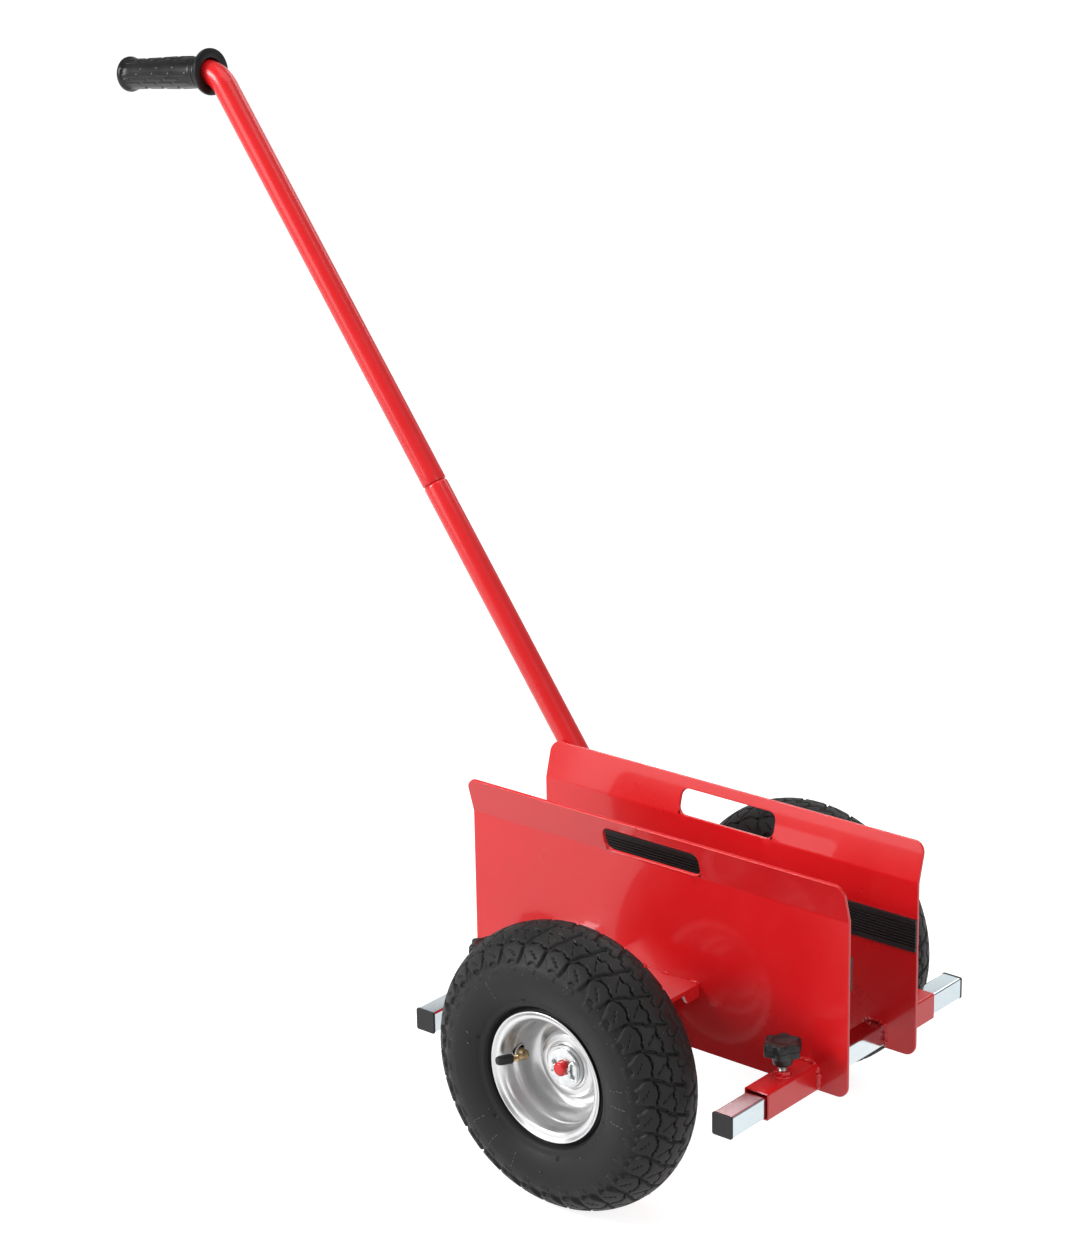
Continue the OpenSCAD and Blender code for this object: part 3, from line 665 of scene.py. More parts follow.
def add_tyre(side):
    rows = tyre_rows()
    steps_a_pitch = 28
    u = np.arange(PITCHES * steps_a_pitch) / steps_a_pitch
    d = np.abs(rows)
    base = np.stack([np.interp(d, ARC_S, ARC_P[:, k]) for k in (0, 1)], -1)
    normal = np.stack([np.interp(d, ARC_S, ARC_N[:, k]) for k in (0, 1)], -1)
    sign = np.where(rows >= 0, 1.0, -1.0)
    depth = tread_depth(u[None, :], rows[:, None])
    # small moulded pits round the side wall
    pits, pit_r, pit_row = 6, 72, 85.3
    around = u[None, :] / PITCHES
    for k in range(pits):
        away = ((around - 0.045 - k / pits + 0.5) % 1.0 - 0.5) * 2 * np.pi * pit_r
        pit = np.hypot(away, d[:, None] - pit_row)
        depth = depth + 1.1 * (1 - step(pit, 1.7, 0.7))
    r = base[:, 0, None] - depth * normal[:, 0, None]
    w = (base[:, 1, None] - depth * normal[:, 1, None]) * sign[:, None]
    # the bead, tucked inside the rim's lip, and the inner wall
    lip = RIM_W / 2
    bead = [(4.2, -1.5), (2.8, -5.0), (1.4, -5.4), (0.2, -4.2), (-3.0, -3.6),
            (-7.6, -4.6), (-8.1, -9.0), (-8.1, -12.8), (-2.0, -12.9), (5.0, -8.0)]
    bead = [(RIM_R + out, lip + along) for out, along in bead]
    crown, wall = 8, 6
    a = np.linspace(0, 2.1, 12)[::-1]
    inner = np.stack([SECTION_R + (TYRE_DEPTH - crown) * np.cos(a), (TYRE_W / 2 - wall) * np.sin(a)], -1)
    right = np.vstack([np.array(bead), inner[:-1]])
    left = right[::-1] * (1, -1)
    rest = np.vstack([right, inner[-1:], left])
    r = np.vstack([r, np.repeat(rest[:, 0, None], len(u), 1)])
    w = np.vstack([w, np.repeat(rest[:, 1, None], len(u), 1)])
    angle = u * 2 * np.pi / PITCHES
    rings = np.stack([r * np.cos(angle), r * np.sin(angle), w], -1)
    piece = skin(side + "_tyre_tread", rings, TYRE, side + "_wheel", on_wheel(side), True, 60.0)
    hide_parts(side + "_tyre")


def add_flash(side):
    """Thin pale lines and hairs of rubber left by the mould."""
    rng = np.random.default_rng(7)
    place = np.array(on_wheel(side))
    parts = []

    def stroke(angle, start, length, thick, lift=0.0):
        """A line across the tread or down the side wall, whose end may stand up as a hair."""
        n = 5
        s = np.linspace(start, start + length, n)
        p = np.stack([np.interp(s, ARC_S, ARC_P[:, k]) for k in (0, 1)], -1)
        q = np.stack([np.interp(s, ARC_S, ARC_N[:, k]) for k in (0, 1)], -1)
        under = tread_depth(np.full(n, angle / (2 * np.pi) * PITCHES), s) - lift * np.linspace(0, 1, n)
        p = p - (under - 0.05)[:, None] * q
        path = np.stack([p[:, 0] * np.cos(angle), p[:, 0] * np.sin(angle), p[:, 1]], -1)
        parts.append(swept_rings(path, np.full(n, thick), 5))

    for angle in (-0.20, -0.02, 0.16, 1.9, 2.2, 2.45, 4.1):
        s = 60.0
        while s < 76:
            long = rng.uniform(1.5, 3.5)
            stroke(angle + rng.normal(0, 0.004), s, long, 0.16)
            s += long + rng.uniform(1.2, 2.4)
    for _ in range(70):
        angle = rng.uniform(0, 2 * np.pi)
        s = rng.uniform(46, 60)
        stroke(angle, s, rng.uniform(0.5, 1.1), 0.15)
    for _ in range(16):
        angle = rng.uniform(0, 2 * np.pi)
        s = rng.choice([rng.uniform(2, 26), rng.uniform(66, 84)])
        stroke(angle, s, rng.uniform(1.0, 2.0), 0.22, 1.6)
    verts, faces = [], []
    for part in parts:
        n, m = part.shape[:2]
        base = len(verts)
        verts += (part.reshape(-1, 3) @ place[:3, :3].T + place[:3, 3]).tolist()
        for i in range(n - 1):
            for j in range(m):
                a, b = base + i * m + j, base + i * m + (j + 1) % m
                faces.append((a, b, b + m, a + m))
        faces.append(tuple(range(base, base + m))[::-1])
        faces.append(tuple(range(base + (n - 1) * m, base + n * m)))
    mesh = bpy.data.meshes.new(side + "_tyre_flash")
    mesh.from_pydata((np.array(verts) * MM).tolist(), [], faces)
    add_object(side + "_tyre_flash", mesh, FLASH, side + "_wheel")


# ---------- rims, hubs and valves ----------


def rim_profile():
    """The pressed rim, as one closed section of (radius, distance outboard)."""
    face = [(19.1, 0.3), (20.5, 0.3), (20.9, -0.6), (21.8, -0.6), (22.2, 0.3), (25.5, 0.3),
            (28.6, -0.4), (30.4, -3.6), (31.6, -7.6), (34.6, -9.6), (39.2, -9.2), (43.4, -4.4),
            (45.4, 2.0), (46.0, 8.0), (46.8, 12.0), (48.9, 14.0), (49.4, 17.4), (49.5, 20.5),
            (50.0, 24.0), (51.4, 26.9), (53.8, 28.5), (55.4, 28.3), (56.6, 28.9), (58.1, 30.1),
            (58.9, 30.5), (59.8, 30.4)]
    outer = [(60.0, 29.6), (58.8, 28.3), (55.6, 27.6), (52.6, 26.8), (51.5, 24.0), (51.5, 19.4),
             (49.6, 14.5), (47.6, 10.0), (47.5, 5.0)]
    well = [(47.5, 0.0)]
    inner = [(59.8, -30.4), (58.2, -30.5), (55.0, -29.5), (51.0, -28.2), (49.5, -24.0), (49.5, -19.0),
             (47.0, -13.6), (45.6, -9.0), (45.4, -4.0)]
    back = [(44.2, -7.0), (40.6, -10.8), (35.6, -11.7), (31.4, -10.6), (29.2, -6.2), (27.6, -2.8),
            (24.0, -1.8), (19.1, -1.8)]
    mirrored = [(r, -y) for r, y in reversed(outer)]
    return softened(face + outer + well + mirrored + inner + back, 2, True)


def add_rim(side):
    body = side + "_wheel"
    place = on_wheel(side)
    rim = turned(side + "_rim_pressing", rim_profile(), SILVER, body, place, 144, True, 50.0)
    hole = on_valve(side)
    r, reach = VALVE_HOLE_R, 7
    cutter = turned("cutter", [(0, -reach), (r, -reach), (r, reach), (0, reach)], SILVER, body, hole, 40)
    cut(rim, cutter)
    smooth(rim.data, 50.0)
    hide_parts(side + "_rim")
    # the rolled lip follows the round wall of the well
    x, y = ((VALVE_HOLE_R + 0.1) * circle(48)).T
    lip = np.stack([x, y, WEB_R - np.sqrt(WEB_R**2 - x**2) + 0.1], -1)
    swept(side + "_valve_hole_lip", lip, 0.8, SILVER, body, hole, 10, True, 180.0)
    add_valve(side)


def add_valve(side):
    body = side + "_wheel"
    place = on_valve(side)
    t = np.radians(np.linspace(0, VALVE_TURN, 18))
    bend = np.stack([t * 0, VALVE_BEND_R * (1 - np.cos(t)), VALVE_IN + VALVE_BEND_R * np.sin(t)], -1)
    way = np.array([0, math.sin(t[-1]), math.cos(t[-1])])
    root = [[0, 0, -8.0], [0, 0, -1.0], [0, 0, 2.0]]
    path = np.vstack([root, bend, bend[-1] + way * 2, bend[-1] + way * 4.5])
    radii = np.full(len(path), 2.9)
    radii[:3] = 3.4
    stem = swept(side + "_valve_elbow", path, radii, BRASS, body, place, 28)
    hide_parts(side + "_valve_stem")
    # threaded end of the stem, with its collar, and the cap
    tail = place @ move(*bend[-1]) @ turn(-VALVE_TURN, "X")
    thread = [(0, 4.0), (3.5, 4.0), (3.5, 5.6), (2.6, 5.9)]
    for k in range(7):
        z = 6.2 + 0.8 * k
        thread += [(2.95, z), (2.55, z + 0.4)]
    thread += [(2.5, VALVE_TAIL), (0, VALVE_TAIL)]
    turned(side + "_valve_thread", thread, BRASS, body, tail, 28)
    profile = softened([(3.7, 11.2), (4.5, 11.6), (4.5, 20.5), (4.3, 23.0), (3.4, 25.6), (2.6, 26.0)], 2)
    profile = np.vstack([[(0, 11.2)], profile, [(0, 26.0)]])
    rings = turned_rings(profile, 72)
    angle = np.linspace(0, 2 * np.pi, 72, endpoint=False)
    flute = 1 - 0.045 * (0.5 + 0.5 * np.cos(angle * 12))
    grip = band(profile[:, 1], 12.5, 22.0, 1.0)
    rings[:, :, :2] *= 1 - (grip[:, None] * (1 - flute)[None, :])[:, :, None]
    cap = skin(side + "_valve_cap_fluted", rings, PLASTIC, body, tail)
    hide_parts(side + "_valve_cap")


# ---------- axles and their fittings ----------


def body_of(side):
    return side + "_frame"


def ring_line(r):
    """The two coordinates of a closed ring's points, the first one repeated at the end."""
    a = np.linspace(0, 2 * np.pi, 41)
    return r * np.cos(a), r * np.sin(a)


def add_axle(side):
    body = body_of(side)
    r = AXLE_D / 2
    end = WHEEL_Y + AXLE_OUT - PLATE_OUT
    dome = [(r, end - 2.2), (r - 0.25, end - 1.4), (r - 1.1, end - 0.6), (r - 2.6, end - 0.2), (r - 4.6, end)]
    profile = [(0, 0), (r, 0), (r, 30), (r, end - 6)] + dome + [(0, end)]
    place = on_side(side) @ move(0, PLATE_OUT, WHEEL_R) @ turn(-90, "X")
    rod = turned(side + "_axle_rod", profile, RED, body, place, 48)
    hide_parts(side + "_axle")
    # split pin: two legs through the axle and a long eye in front of it
    leg = r + 2.2
    high, wide = 8.0, 4.0
    x0 = leg + wide - 0.4
    turns = np.radians(np.linspace(20, 160, 8))
    round_end = [(wide * math.cos(t), high - wide + wide * math.sin(t)) for t in turns]
    eye = [(x0 - wide, 0.75), (x0 - wide, high - wide)]
    eye += [(x0 - x, z) for x, z in round_end]
    eye += [(x0 + wide, 0.0)]
    eye += [(x0 + x, -z) for x, z in round_end]
    eye += [(x0 - wide, -high + wide), (x0 - wide, -0.75)]
    line = [(-leg - 3.4, 4.2), (-leg - 1.2, 2.0), (-leg, 0.8), (leg - 1.5, 0.75)] + eye
    line += [(leg - 1.5, -0.75), (-leg, -0.8), (-leg - 1.0, -2.4), (-leg - 2.2, -5.2)]
    path = softened([(x, 0.0, z) for x, z in line], 2)
    place = on_side(side) @ move(0, WHEEL_Y + PIN_OUT, WHEEL_R)
    pin = swept(side + "_hairpin", path, PIN_WIRE_R, ZINC, body, place, 14, False, 180)
    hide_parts(side + "_split_pin")
    finished(side + "_axle_bracket", RED, body, 0.7)
    shown(side + "_spacer", ZINC)
    finished(side + "_washers", ZINC, body, 0.35)
    # stitch welds of the bracket to the plate and of the axle to the bracket
    top = WHEEL_R + BRACKET_TOP
    for k, x in enumerate((-BRACKET_HALF, -18, 18, BRACKET_HALF)):
        to_middle = -10 if x > 0 else 10
        line = [(x + share * to_middle, PLATE_OUT, top) for share in (0, 0.5, 1)]
        weld(f"{side}_bracket_weld_{k}", line, RED, body, on_side(side), 2.3, False, 11 + k)
    for k, y in enumerate((PLATE_OUT, PLATE_OUT + BRACKET_Y)):
        x, z = ring_line(7.1)
        line = np.stack([x, np.full(len(x), y), WHEEL_R + z], -1)
        weld(f"{side}_axle_weld_{k}", line, RED, body, on_side(side), 1.7, True, 21 + k)


# ---------- side frames ----------

# Distances up the bay-side face of the sheet: where its fold starts and ends, and its top edge
FOLD_REACH = FOLD_R * math.tan(FLARE_TURN / 2)
FOLD_LOW = PLATE_H - FLARE_H - FOLD_REACH
FOLD_HIGH = FOLD_LOW + FOLD_R * FLARE_TURN
SHEET_TOP = FOLD_HIGH + FLARE_H / math.cos(FLARE_TURN) - FOLD_REACH
FOLD_ROWS = np.linspace(FOLD_LOW, FOLD_HIGH, 9)
SLOT_MIDDLE = SHEET_TOP - SLOT_RIM - SLOT_W / 2


def on_sheet(x, s, depth):
    """Points of the bent sheet and its turn there: x along it, s up its bay-side face, depth out of it."""
    a = np.clip((s - FOLD_LOW) / FOLD_R, 0, FLARE_TURN)
    over = np.maximum(s - FOLD_HIGH, 0)
    y = PLATE_IN + FOLD_R * (1 - np.cos(a)) + over * math.sin(FLARE_TURN) + depth * np.cos(a)
    z = PLATE_Z + np.minimum(s, FOLD_LOW) + FOLD_R * np.sin(a) + over * math.cos(FLARE_TURN)
    z = z - depth * np.sin(a)
    return np.stack([x, y, z], -1), a


def arc(x, s, r, start, stop, steps=10):
    a = np.radians(np.linspace(start, stop, steps + 1))
    return [(x + r * math.cos(t), s + r * math.sin(t)) for t in a]


def sheet_outline():
    """The plate's edge, anticlockwise, with the notches for the cross bars."""
    half, r, w = PLATE_LEN / 2, CORNER_R, NOTCH_W / 2
    line = arc(-half + r, r, r, 180, 270)
    for end in (-1, 1):
        x = end * BAR_X
        line += [(x - w, 0), (x - w, NOTCH_H), (x + w, NOTCH_H), (x + w, 0)]
    line += arc(half - r, r, r, 270, 360)
    line += [(half, s) for s in FOLD_ROWS]
    line += arc(half - r, SHEET_TOP - r, r, 0, 90) + arc(-half + r, SHEET_TOP - r, r, 90, 180)
    line += [(-half, s) for s in FOLD_ROWS[::-1]]
    return np.array(line)


def slot_outline():
    """The hand slot's edge, clockwise."""
    s, r = SLOT_MIDDLE, SLOT_R
    x, h = SLOT_LEN / 2 - SLOT_R, SLOT_W / 2 - SLOT_R
    line = arc(-x, s + h, r, 180, 90) + arc(x, s + h, r, 90, 0) + arc(x, s - h, r, 0, -90)
    return np.array(line + arc(-x, s - h, r, -90, -180))


def inward(loop):
    """At each point of a loop, the mitred step into the metal and the edge's unit normal."""
    way = np.roll(loop, -1, 0) - loop
    way /= np.linalg.norm(way, axis=1)[:, None]
    after = np.stack([-way[:, 1], way[:, 0]], -1)
    before = np.roll(after, 1, 0)
    mean = after + before
    mean /= np.linalg.norm(mean, axis=1)[:, None]
    return mean / (mean * after).sum(1)[:, None], mean


def sheet_points():
    """Points on the face of the sheet, away from its edges, in rows that follow the fold."""
    rim, clear = 6, 2
    rows = np.r_[np.linspace(rim, FOLD_LOW - rim, 9), FOLD_ROWS, np.linspace(FOLD_HIGH + 5, SHEET_TOP - 4, 5)]
    half = PLATE_LEN / 2
    points = []
    for s in rows:
        for x in np.linspace(-half + rim, half - rim, 36):
            at_corner = abs(x) > half - CORNER_R - clear and min(s, SHEET_TOP - s) < CORNER_R + clear
            at_notch = abs(abs(x) - BAR_X) < NOTCH_W / 2 + clear and s < NOTCH_H + clear
            at_slot = abs(x) < SLOT_LEN / 2 + clear and abs(s - SLOT_MIDDLE) < SLOT_W / 2 + 1.2
            if not (at_corner or at_notch or at_slot):
                points.append((x, s))
    return points


def add_plate(side):
    """The bent sheet with its edges rounded, its two faces triangulated and its edges in rings."""
    r = 0.7
    turns = np.radians(np.linspace(0, 90, 5))
    # across the rounded edge: step in, depth, and the normal's parts out of the edge and along the depth
    rim = [(r * (1 - math.sin(t)), r * (1 - math.cos(t)), math.sin(t), -math.cos(t)) for t in turns]
    rim += [(q, PLATE_T - d, out, -n) for q, d, out, n in reversed(rim)]
    points, normals, faces, flat = [], [], [], []
    for loop in (sheet_outline(), slot_outline()):
        step_in, mean = inward(loop)
        base, n = len(points), len(loop)
        for q, depth, out, up in rim:
            at = loop + q * step_in
            p, a = on_sheet(at[:, 0], at[:, 1], depth)
            across = -mean[:, :1] * out
            along = -mean[:, 1:] * out
            sheet_way = np.stack([a * 0, np.sin(a), np.cos(a)], -1)
            thick_way = np.stack([a * 0, np.cos(a), -np.sin(a)], -1)
            points += p.tolist()
            normals += (across * (1.0, 0.0, 0.0) + along * sheet_way + up * thick_way).tolist()
        for k in range(len(rim) - 1):
            for i in range(n):
                j = (i + 1) % n
                low, high = base + k * n, base + (k + 1) * n
                faces.append((low + i, high + i, high + j, low + j))
        flat.append((loop + r * step_in, base, base + (len(rim) - 1) * n))
    corners = [Vector(v) for loop, _, _ in flat for v in loop]
    edges, first = [], 0
    for loop, _, _ in flat:
        n = len(loop)
        edges += [(first + i, first + (i + 1) % n) for i in range(n)]
        first += n
    inner = sheet_points()
    result = delaunay_2d_cdt(corners + [Vector(v) for v in inner], edges, [], 1, 1e-5)
    front, back = {}, {}
    count = 0
    for loop, low, high in flat:
        for i in range(len(loop)):
            front[count], back[count] = low + i, high + i
            count += 1
    for depth, table, up in ((0.0, front, -1.0), (PLATE_T, back, 1.0)):
        for i, (x, h) in enumerate(inner):
            p, a = on_sheet(np.array([x]), np.array([h]), depth)
            table[count + i] = len(points)
            points += p.tolist()
            normals.append((0.0, up * math.cos(a[0]), -up * math.sin(a[0])))
    for corner_set in result[2]:
        ids = [result[3][v][0] for v in corner_set]
        x, h = np.mean([result[0][v] for v in corner_set], 0)
        at_slot = abs(x) < SLOT_LEN / 2 - 0.5 and abs(h - SLOT_MIDDLE) < SLOT_W / 2
        at_notch = abs(abs(x) - BAR_X) < NOTCH_W / 2 and h < NOTCH_H
        if not (at_slot or at_notch):
            faces.append(tuple(front[v] for v in ids))
            faces.append(tuple(back[v] for v in reversed(ids)))
    flip = np.array((1.0, SIDES[side], 1.0))
    if side == "near":
        faces = [tuple(reversed(face)) for face in faces]
    mesh = bpy.data.meshes.new(side + "_plate_sheet")
    mesh.from_pydata((np.array(points) * flip * MM).tolist(), [], faces)
    piece = add_object(side + "_plate_sheet", mesh, RED, body_of(side), sharp=60.0)
    mesh.normals_split_custom_set_from_vertices((np.array(normals) * flip).tolist())
    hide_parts(side + "_plate")


def add_frame(side):
    body = body_of(side)
    add_plate(side)
    finished(side + "_pad", RIBBED, body, 0.2, 25.0, 2)
    finished(side + "_weld_nuts", RED, body, 1.3, 25.0, 3)
    for end, front in ENDS.items():
        finished(f"{side}_{end}_sleeve", RED, body, 0.4, 40.0, 2)
        x, z = front * BAR_X, PLATE_Z
        w = SLEEVE_W / 2
        corners = ((-w, 1), (-w, SLEEVE_W), (w, SLEEVE_W), (w, 1))
        line = [(x + along, PLATE_OUT, z + up) for along, up in corners]
        weld(f"{side}_{end}_sleeve_weld", softened(line, 2), RED, body, on_side(side), 3.8, False, 31)
        x, y = ring_line(7.6)
        line = np.stack([x, y, np.full(len(x), z + SLEEVE_W)], -1)
        weld(f"{side}_{end}_nut_weld", line, RED, body, on_screw(side, end), 1.7, True, 41)


def add_bars():
    for end in ENDS:
        finished(end + "_bar", BAR, end + "_bar", 0.3, 40.0, 2)
        finished(end + "_bar_caps", PLASTIC, end + "_bar", 0.7, 40.0, 3)


# ---------- clamp screws ----------


def add_screw(side, end):
    place = on_screw(side, end)
    r = STUD_D / 2
    # the stud's tip, up from the sleeve's underside: the sleeve's wall, play, the bar and a clearance
    low = PLATE_Z + 1.5 + 0.3 + 20.0 + 0.3
    thread = [(0, low), (r - 0.8, low)]
    z = low + 0.6
    while z < NECK_Z + 7:
        thread += [(r, z), (r - 0.55, z + 0.62)]
        z += THREAD_PITCH
    thread += [(r - 0.6, NECK_Z + 8), (0, NECK_Z + 8)]
    stud = turned(f"{side}_{end}_thread", thread, ZINC, f"{side}_{end}_stud", place, 40, False, 25.0)
    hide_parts(f"{side}_{end}_stud")
    segments = 144
    a = np.linspace(0, 2 * np.pi, segments, endpoint=False)
    lobe = KNOB_R - 3.4 * (0.5 - 0.5 * np.cos(6 * a)) ** 0.8
    middle = KNOB_Z + KNOB_H * 0.52
    top = KNOB_Z + KNOB_H
    # the round neck, the lobed head with a parting line round its middle, and the dished top
    levels = [(0, NECK_Z + 0.6), (r + 0.2, NECK_Z + 0.6), (r + 0.4, NECK_Z), (7.6, NECK_Z)]
    levels += [(8.4, NECK_Z + 0.5), (9.0, NECK_Z + 4.0), (9.8, NECK_Z + 7.6), (10.8, KNOB_Z - 0.3)]
    levels += [(lobe - q, KNOB_Z + z) for q, z in ((3.0, 0), (1.5, 0.1), (0.6, 0.6), (0.15, 1.5))]
    parting = ((0, -1.0), (0, -0.35), (0.45, -0.2), (0.45, 0.2), (0.1, 0.35))
    levels += [(lobe - q, middle + z) for q, z in parting]
    rounded = ((0.3, -2.6), (0.7, -1.3), (1.5, -0.45), (2.6, -0.05), (3.8, 0))
    levels += [(lobe - q, top + z) for q, z in rounded]
    levels += [(9.4, top - 0.05), (9.0, top - 0.25), (8.6, top - 0.5), (4.0, top - 0.5), (0, top - 0.5)]
    c = circle(segments)
    rings = np.zeros((len(levels), segments, 3))
    for ring, (radius, z) in zip(rings, levels):
        ring[:, :2] = c * np.broadcast_to(radius, (segments,))[:, None]
        ring[:, 2] = z
    head = skin(f"{side}_{end}_knob_head", rings, PLASTIC, f"{side}_{end}_knob", place, False, 60.0)
    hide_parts(f"{side}_{end}_knob")


# ---------- handle ----------


def add_handle():
    r = HANDLE_D / 2
    inside = r - HANDLE_WALL
    top = LOWER_LEN - 0.3
    profile = [(inside, 0), (r - 0.3, 0), (r, 0.4), (r, 60), (r, 120), (r, 240), (r, 360)]
    profile += [(r, top - 3.2), (r - 0.25, top - 2.0), (r - 0.9, top - 0.9), (r - 1.5, top - 0.3)]
    profile += [(r - 1.9, top), (inside, top - 0.4), (inside, 200)]
    tube = turned("handle_lower_pipe", profile, RED, "far_frame", on_handle(), 64, True, 45.0)
    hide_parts("handle_lower_tube")
    # hidden spigot, straight stretch, bend and the stretch inside the grip
    path = [(0, 0, LOWER_LEN - 60), (0, 0, LOWER_LEN - 2)]
    radii = [inside - 0.15, inside - 0.15]
    for z, q in ((0.0, inside - 0.1), (0.01, r - 0.5), (0.25, r - 0.12), (0.7, r)):
        path.append((0, 0, LOWER_LEN + z))
        radii.append(q)
    for z in np.linspace(8, UPPER_LEN, 30):
        path.append((0, 0, LOWER_LEN + z))
        radii.append(r)
    bend_z = LOWER_LEN + UPPER_LEN
    for t in np.radians(np.linspace(0, GRIP_TURN, 25)[1:]):
        path.append((-BEND_R + BEND_R * math.cos(t), 0, bend_z + BEND_R * math.sin(t)))
        radii.append(r)
    t = math.radians(GRIP_TURN)
    last = np.array(path[-1])
    for reach in (4.0, 60.0, 103.0):
        path.append(tuple(last + reach * np.array([-math.sin(t), 0, math.cos(t)])))
        radii.append(r)
    radii = np.array(radii)
    tube = swept("handle_upper_pipe", path, radii, RED, "upper_handle", on_handle(), 64, False, 45.0)
    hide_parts("handle_upper_tube")
    finished("handle_socket", RED, "far_frame", 0.7)
    finished("handle_bolt", ZINC, "far_frame", 0.5)
    finished("handle_nut", ZINC, "far_frame", 0.5)
    for k, way in enumerate((-1, 1)):
        edge = way * (SOCKET_D / 2 - 0.5)
        line = [(edge, -HANDLE_OUT, 9), (edge, -HANDLE_OUT, SOCKET_LEN - 13)]
        weld(f"socket_weld_{k}", line, RED, "far_frame", on_handle(), 2.2, False, 51 + k)


def add_grip():
    end = GRIP_LEN - GUARD_BACK
    body = [(22.4, -9.0), (22.5, -8.4), (22.5, -6.6), (22.1, -5.8), (20.6, -5.4), (18.2, -5.0),
            (16.2, -3.2), (15.0, -0.6), (14.5, 2.4), (14.5, 4.6), (15.2, 5.2), (15.3, 6.2),
            (14.7, 6.9), (14.6, 8.4)]
    for z in np.arange(10, end - 14, 0.9):
        body.append((14.3 + 1.0 * math.exp(-(((z - 30) / 32) ** 2)), z))
    knob = [(14.4, 13), (14.5, 11), (14.9, 9), (15.7, 7.4), (16.7, 6.2), (17.15, 4.8),
            (17.2, 3.4), (16.9, 1.9), (16.0, 0.8), (14.4, 0.2), (12.0, 0), (6.0, 0)]
    body += [(r, end - back) for r, back in knob]
    bore = [(0, end - 5), (12.1, end - 5), (12.1, 0), (12.6, -6), (13.9, -9.3), (14.6, -9.5), (21.6, -9.5)]
    profile = np.array(bore + body + [(0, end)])
    segments = 180
    rings = turned_rings(profile, segments)
    a = np.degrees(np.linspace(0, 2 * np.pi, segments, endpoint=False))
    z = profile[:, 1, None]
    outer = (profile[:, 0, None] > 14) & (z > 9) & (z < end - 7)
    lift = np.zeros((len(profile), segments))
    # each quarter has a row of dots and three staggered rows of long pads
    start, degree, gap = 61, 0.26, 22.7
    for k in range(4):
        row = (a[None, :] + start - 90 * k + 180) % 360 - 180
        for n in range(4):
            away = np.hypot(row * degree, z - (31.3 + gap * n))
            lift += 0.9 * (1 - step(away, 1.0, 0.7))
        for m, offset in enumerate((28, 45, 62)):
            pad = (a[None, :] + start - 90 * k - offset + 180) % 360 - 180
            for n in range(4):
                along = np.abs(z - (22 + gap * n + 11.3 * (m % 2))) - 9.0
                across = np.abs(pad) * degree - 1.5
                away = np.maximum(along, across)
                lift += 0.55 * (1 - step(away, 0.0, 0.45))
    lift = lift * outer
    scale = 1 + lift / np.maximum(profile[:, 0, None], 1.0)
    rings[:, :, :2] *= scale[:, :, None]
    grip = skin("handle_grip_moulded", rings, GRIP, "upper_handle", on_grip(), False, 55.0)
    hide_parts("handle_grip")


# ---------- everything ----------

for side in SIDES:
    add_tyre(side)
    add_flash(side)
    add_rim(side)
    shown(side + "_inner_tube", TUBE)
    shown(side + "_hub", SILVER)
    shown(side + "_bearings", STEEL)
    add_axle(side)
    add_frame(side)
    for end in ENDS:
        add_screw(side, end)
add_bars()
add_handle()
add_grip()

# ---------- floor, light and camera ----------


def add_floor():
    size = 20.0
    corners = [(-size, -size, 0), (size, -size, 0), (size, size, 0), (-size, size, 0)]
    mesh = bpy.data.meshes.new("floor")
    mesh.from_pydata(corners, [], [(0, 1, 2, 3)])
    floor = bpy.data.objects.new("floor", mesh)
    bpy.context.scene.collection.objects.link(floor)
    f = Finish("pale_floor", "red_paint")
    tone = f.noise(3.0, 3.0)
    color = f.blend(tone, (0.50, 0.50, 0.50), (0.52, 0.52, 0.52))
    f.shader.inputs["Emission Color"].default_value = (1.0, 1.0, 1.0, 1.0)
    f.shader.inputs["Emission Strength"].default_value = 0.82
    mesh.materials.append(f.done(color, 0.7))
    floor.visible_diffuse = False


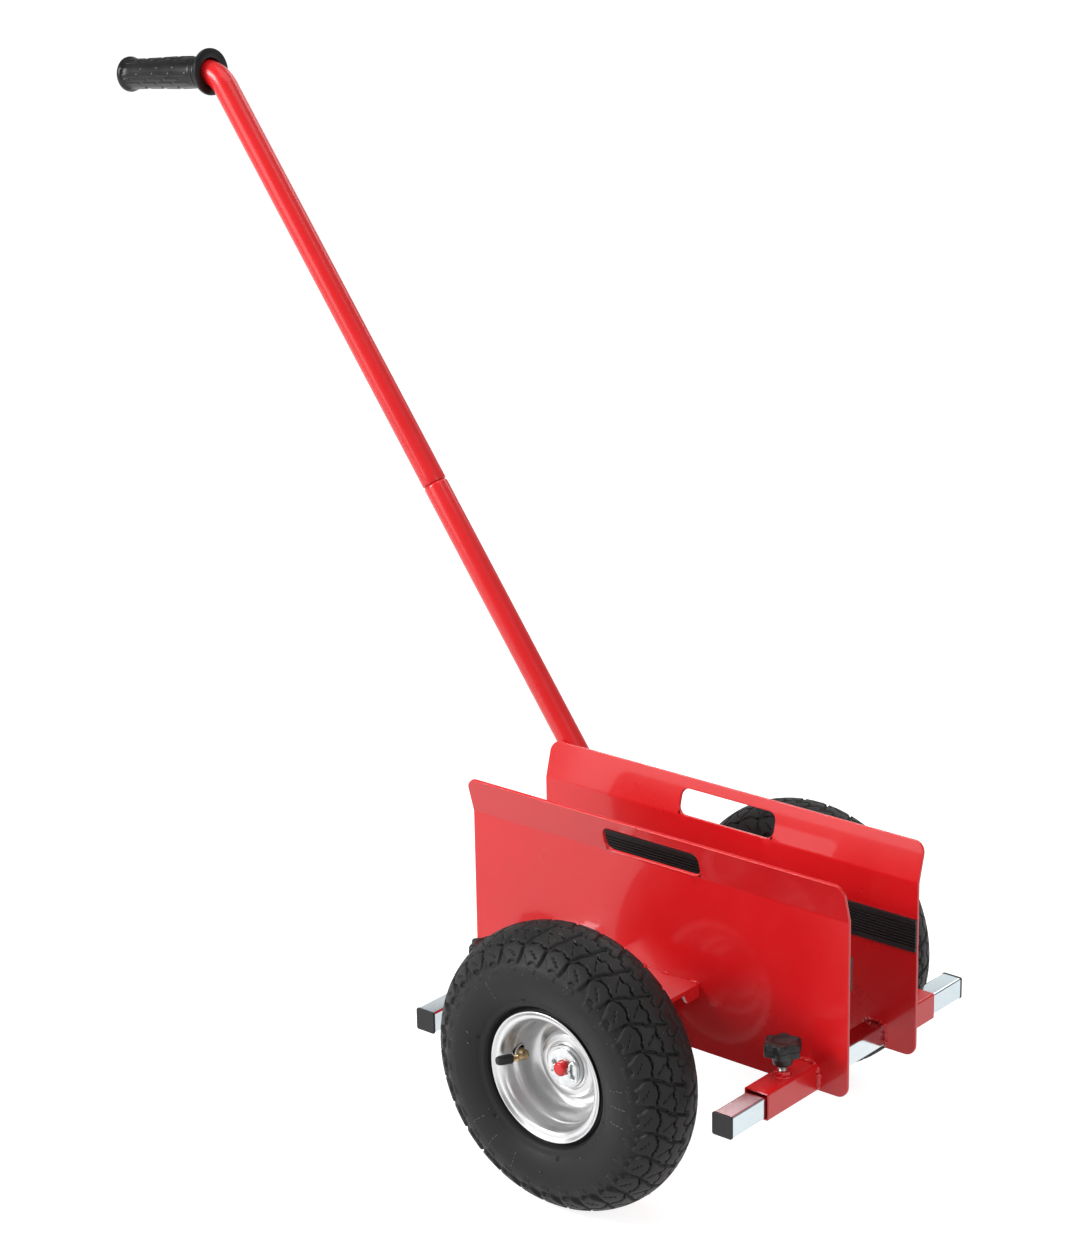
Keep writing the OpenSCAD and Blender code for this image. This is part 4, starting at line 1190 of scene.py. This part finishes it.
def add_light(name, place, aim, width, height, power):
    """A soft box: where it stands, the point that it faces, its size in metres and its watts."""
    data = bpy.data.lights.new(name, "AREA")
    data.shape = "RECTANGLE"
    data.size, data.size_y = width, height
    data.energy = power
    lamp = bpy.data.objects.new(name, data)
    bpy.context.scene.collection.objects.link(lamp)
    way = Vector(aim) - Vector(place)
    lamp.matrix_world = Matrix.Translation(place) @ way.to_track_quat("-Z", "Y").to_matrix().to_4x4()
    lamp.visible_camera = False


def add_world(level):
    world = bpy.data.worlds.new("studio")
    world.use_nodes = True
    sky = world.node_tree.nodes["Background"]
    sky.inputs[0].default_value = (1.0, 1.0, 1.0, 1.0)
    sky.inputs[1].default_value = level
    bpy.context.scene.world = world


def add_camera(place, azimuth, height, roll, lens):
    """A camera at a place in metres, turned by angles in degrees, with a lens in millimetres."""
    azimuth, height, roll = map(math.radians, (azimuth, height, roll))
    level = math.cos(height)
    back = Vector((math.sin(azimuth) * level, -math.cos(azimuth) * level, math.sin(height)))
    across = Vector((math.cos(azimuth), math.sin(azimuth), 0))
    up = back.cross(across)
    right = across * math.cos(roll) + up * math.sin(roll)
    above = up * math.cos(roll) - across * math.sin(roll)
    data = bpy.data.cameras.new("camera")
    data.lens = lens
    data.sensor_width = 36.0
    data.clip_end = 60.0
    camera = bpy.data.objects.new("camera", data)
    bpy.context.scene.collection.objects.link(camera)
    turned_to = Matrix((right, above, back)).transposed().to_4x4()
    camera.matrix_world = Matrix.Translation(place) @ turned_to
    bpy.context.scene.camera = camera


add_floor()
add_world(0.38)
add_light("key", (-1.9, -2.3, 2.0), (0, 0, 0.25), 1.3, 1.3, 88)
add_light("top", (0.3, 0.2, 3.2), (0, 0, 0), 2.2, 2.2, 26)
add_light("side", (3.0, -0.6, 1.5), (0, 0, 0.2), 0.8, 1.8, 24)
add_light("card", (-1.5, -3.0, 1.2), (0, 0, 0.3), 1.6, 1.6, 20)
add_light("backdrop", (-2.2, 2.9, 1.1), (0, 0, 0.2), 2.6, 1.4, 10)
add_light("back", (-0.2, 3.0, 2.6), (0, 0, 0.3), 2.0, 1.2, 22)
add_camera((1.6908, -2.2107, 1.4367), azimuth=40.07, height=18.86, roll=-1.10, lens=98.15)
scene = bpy.context.scene
scene.view_settings.view_transform = "Standard"
scene.view_settings.look = "None"
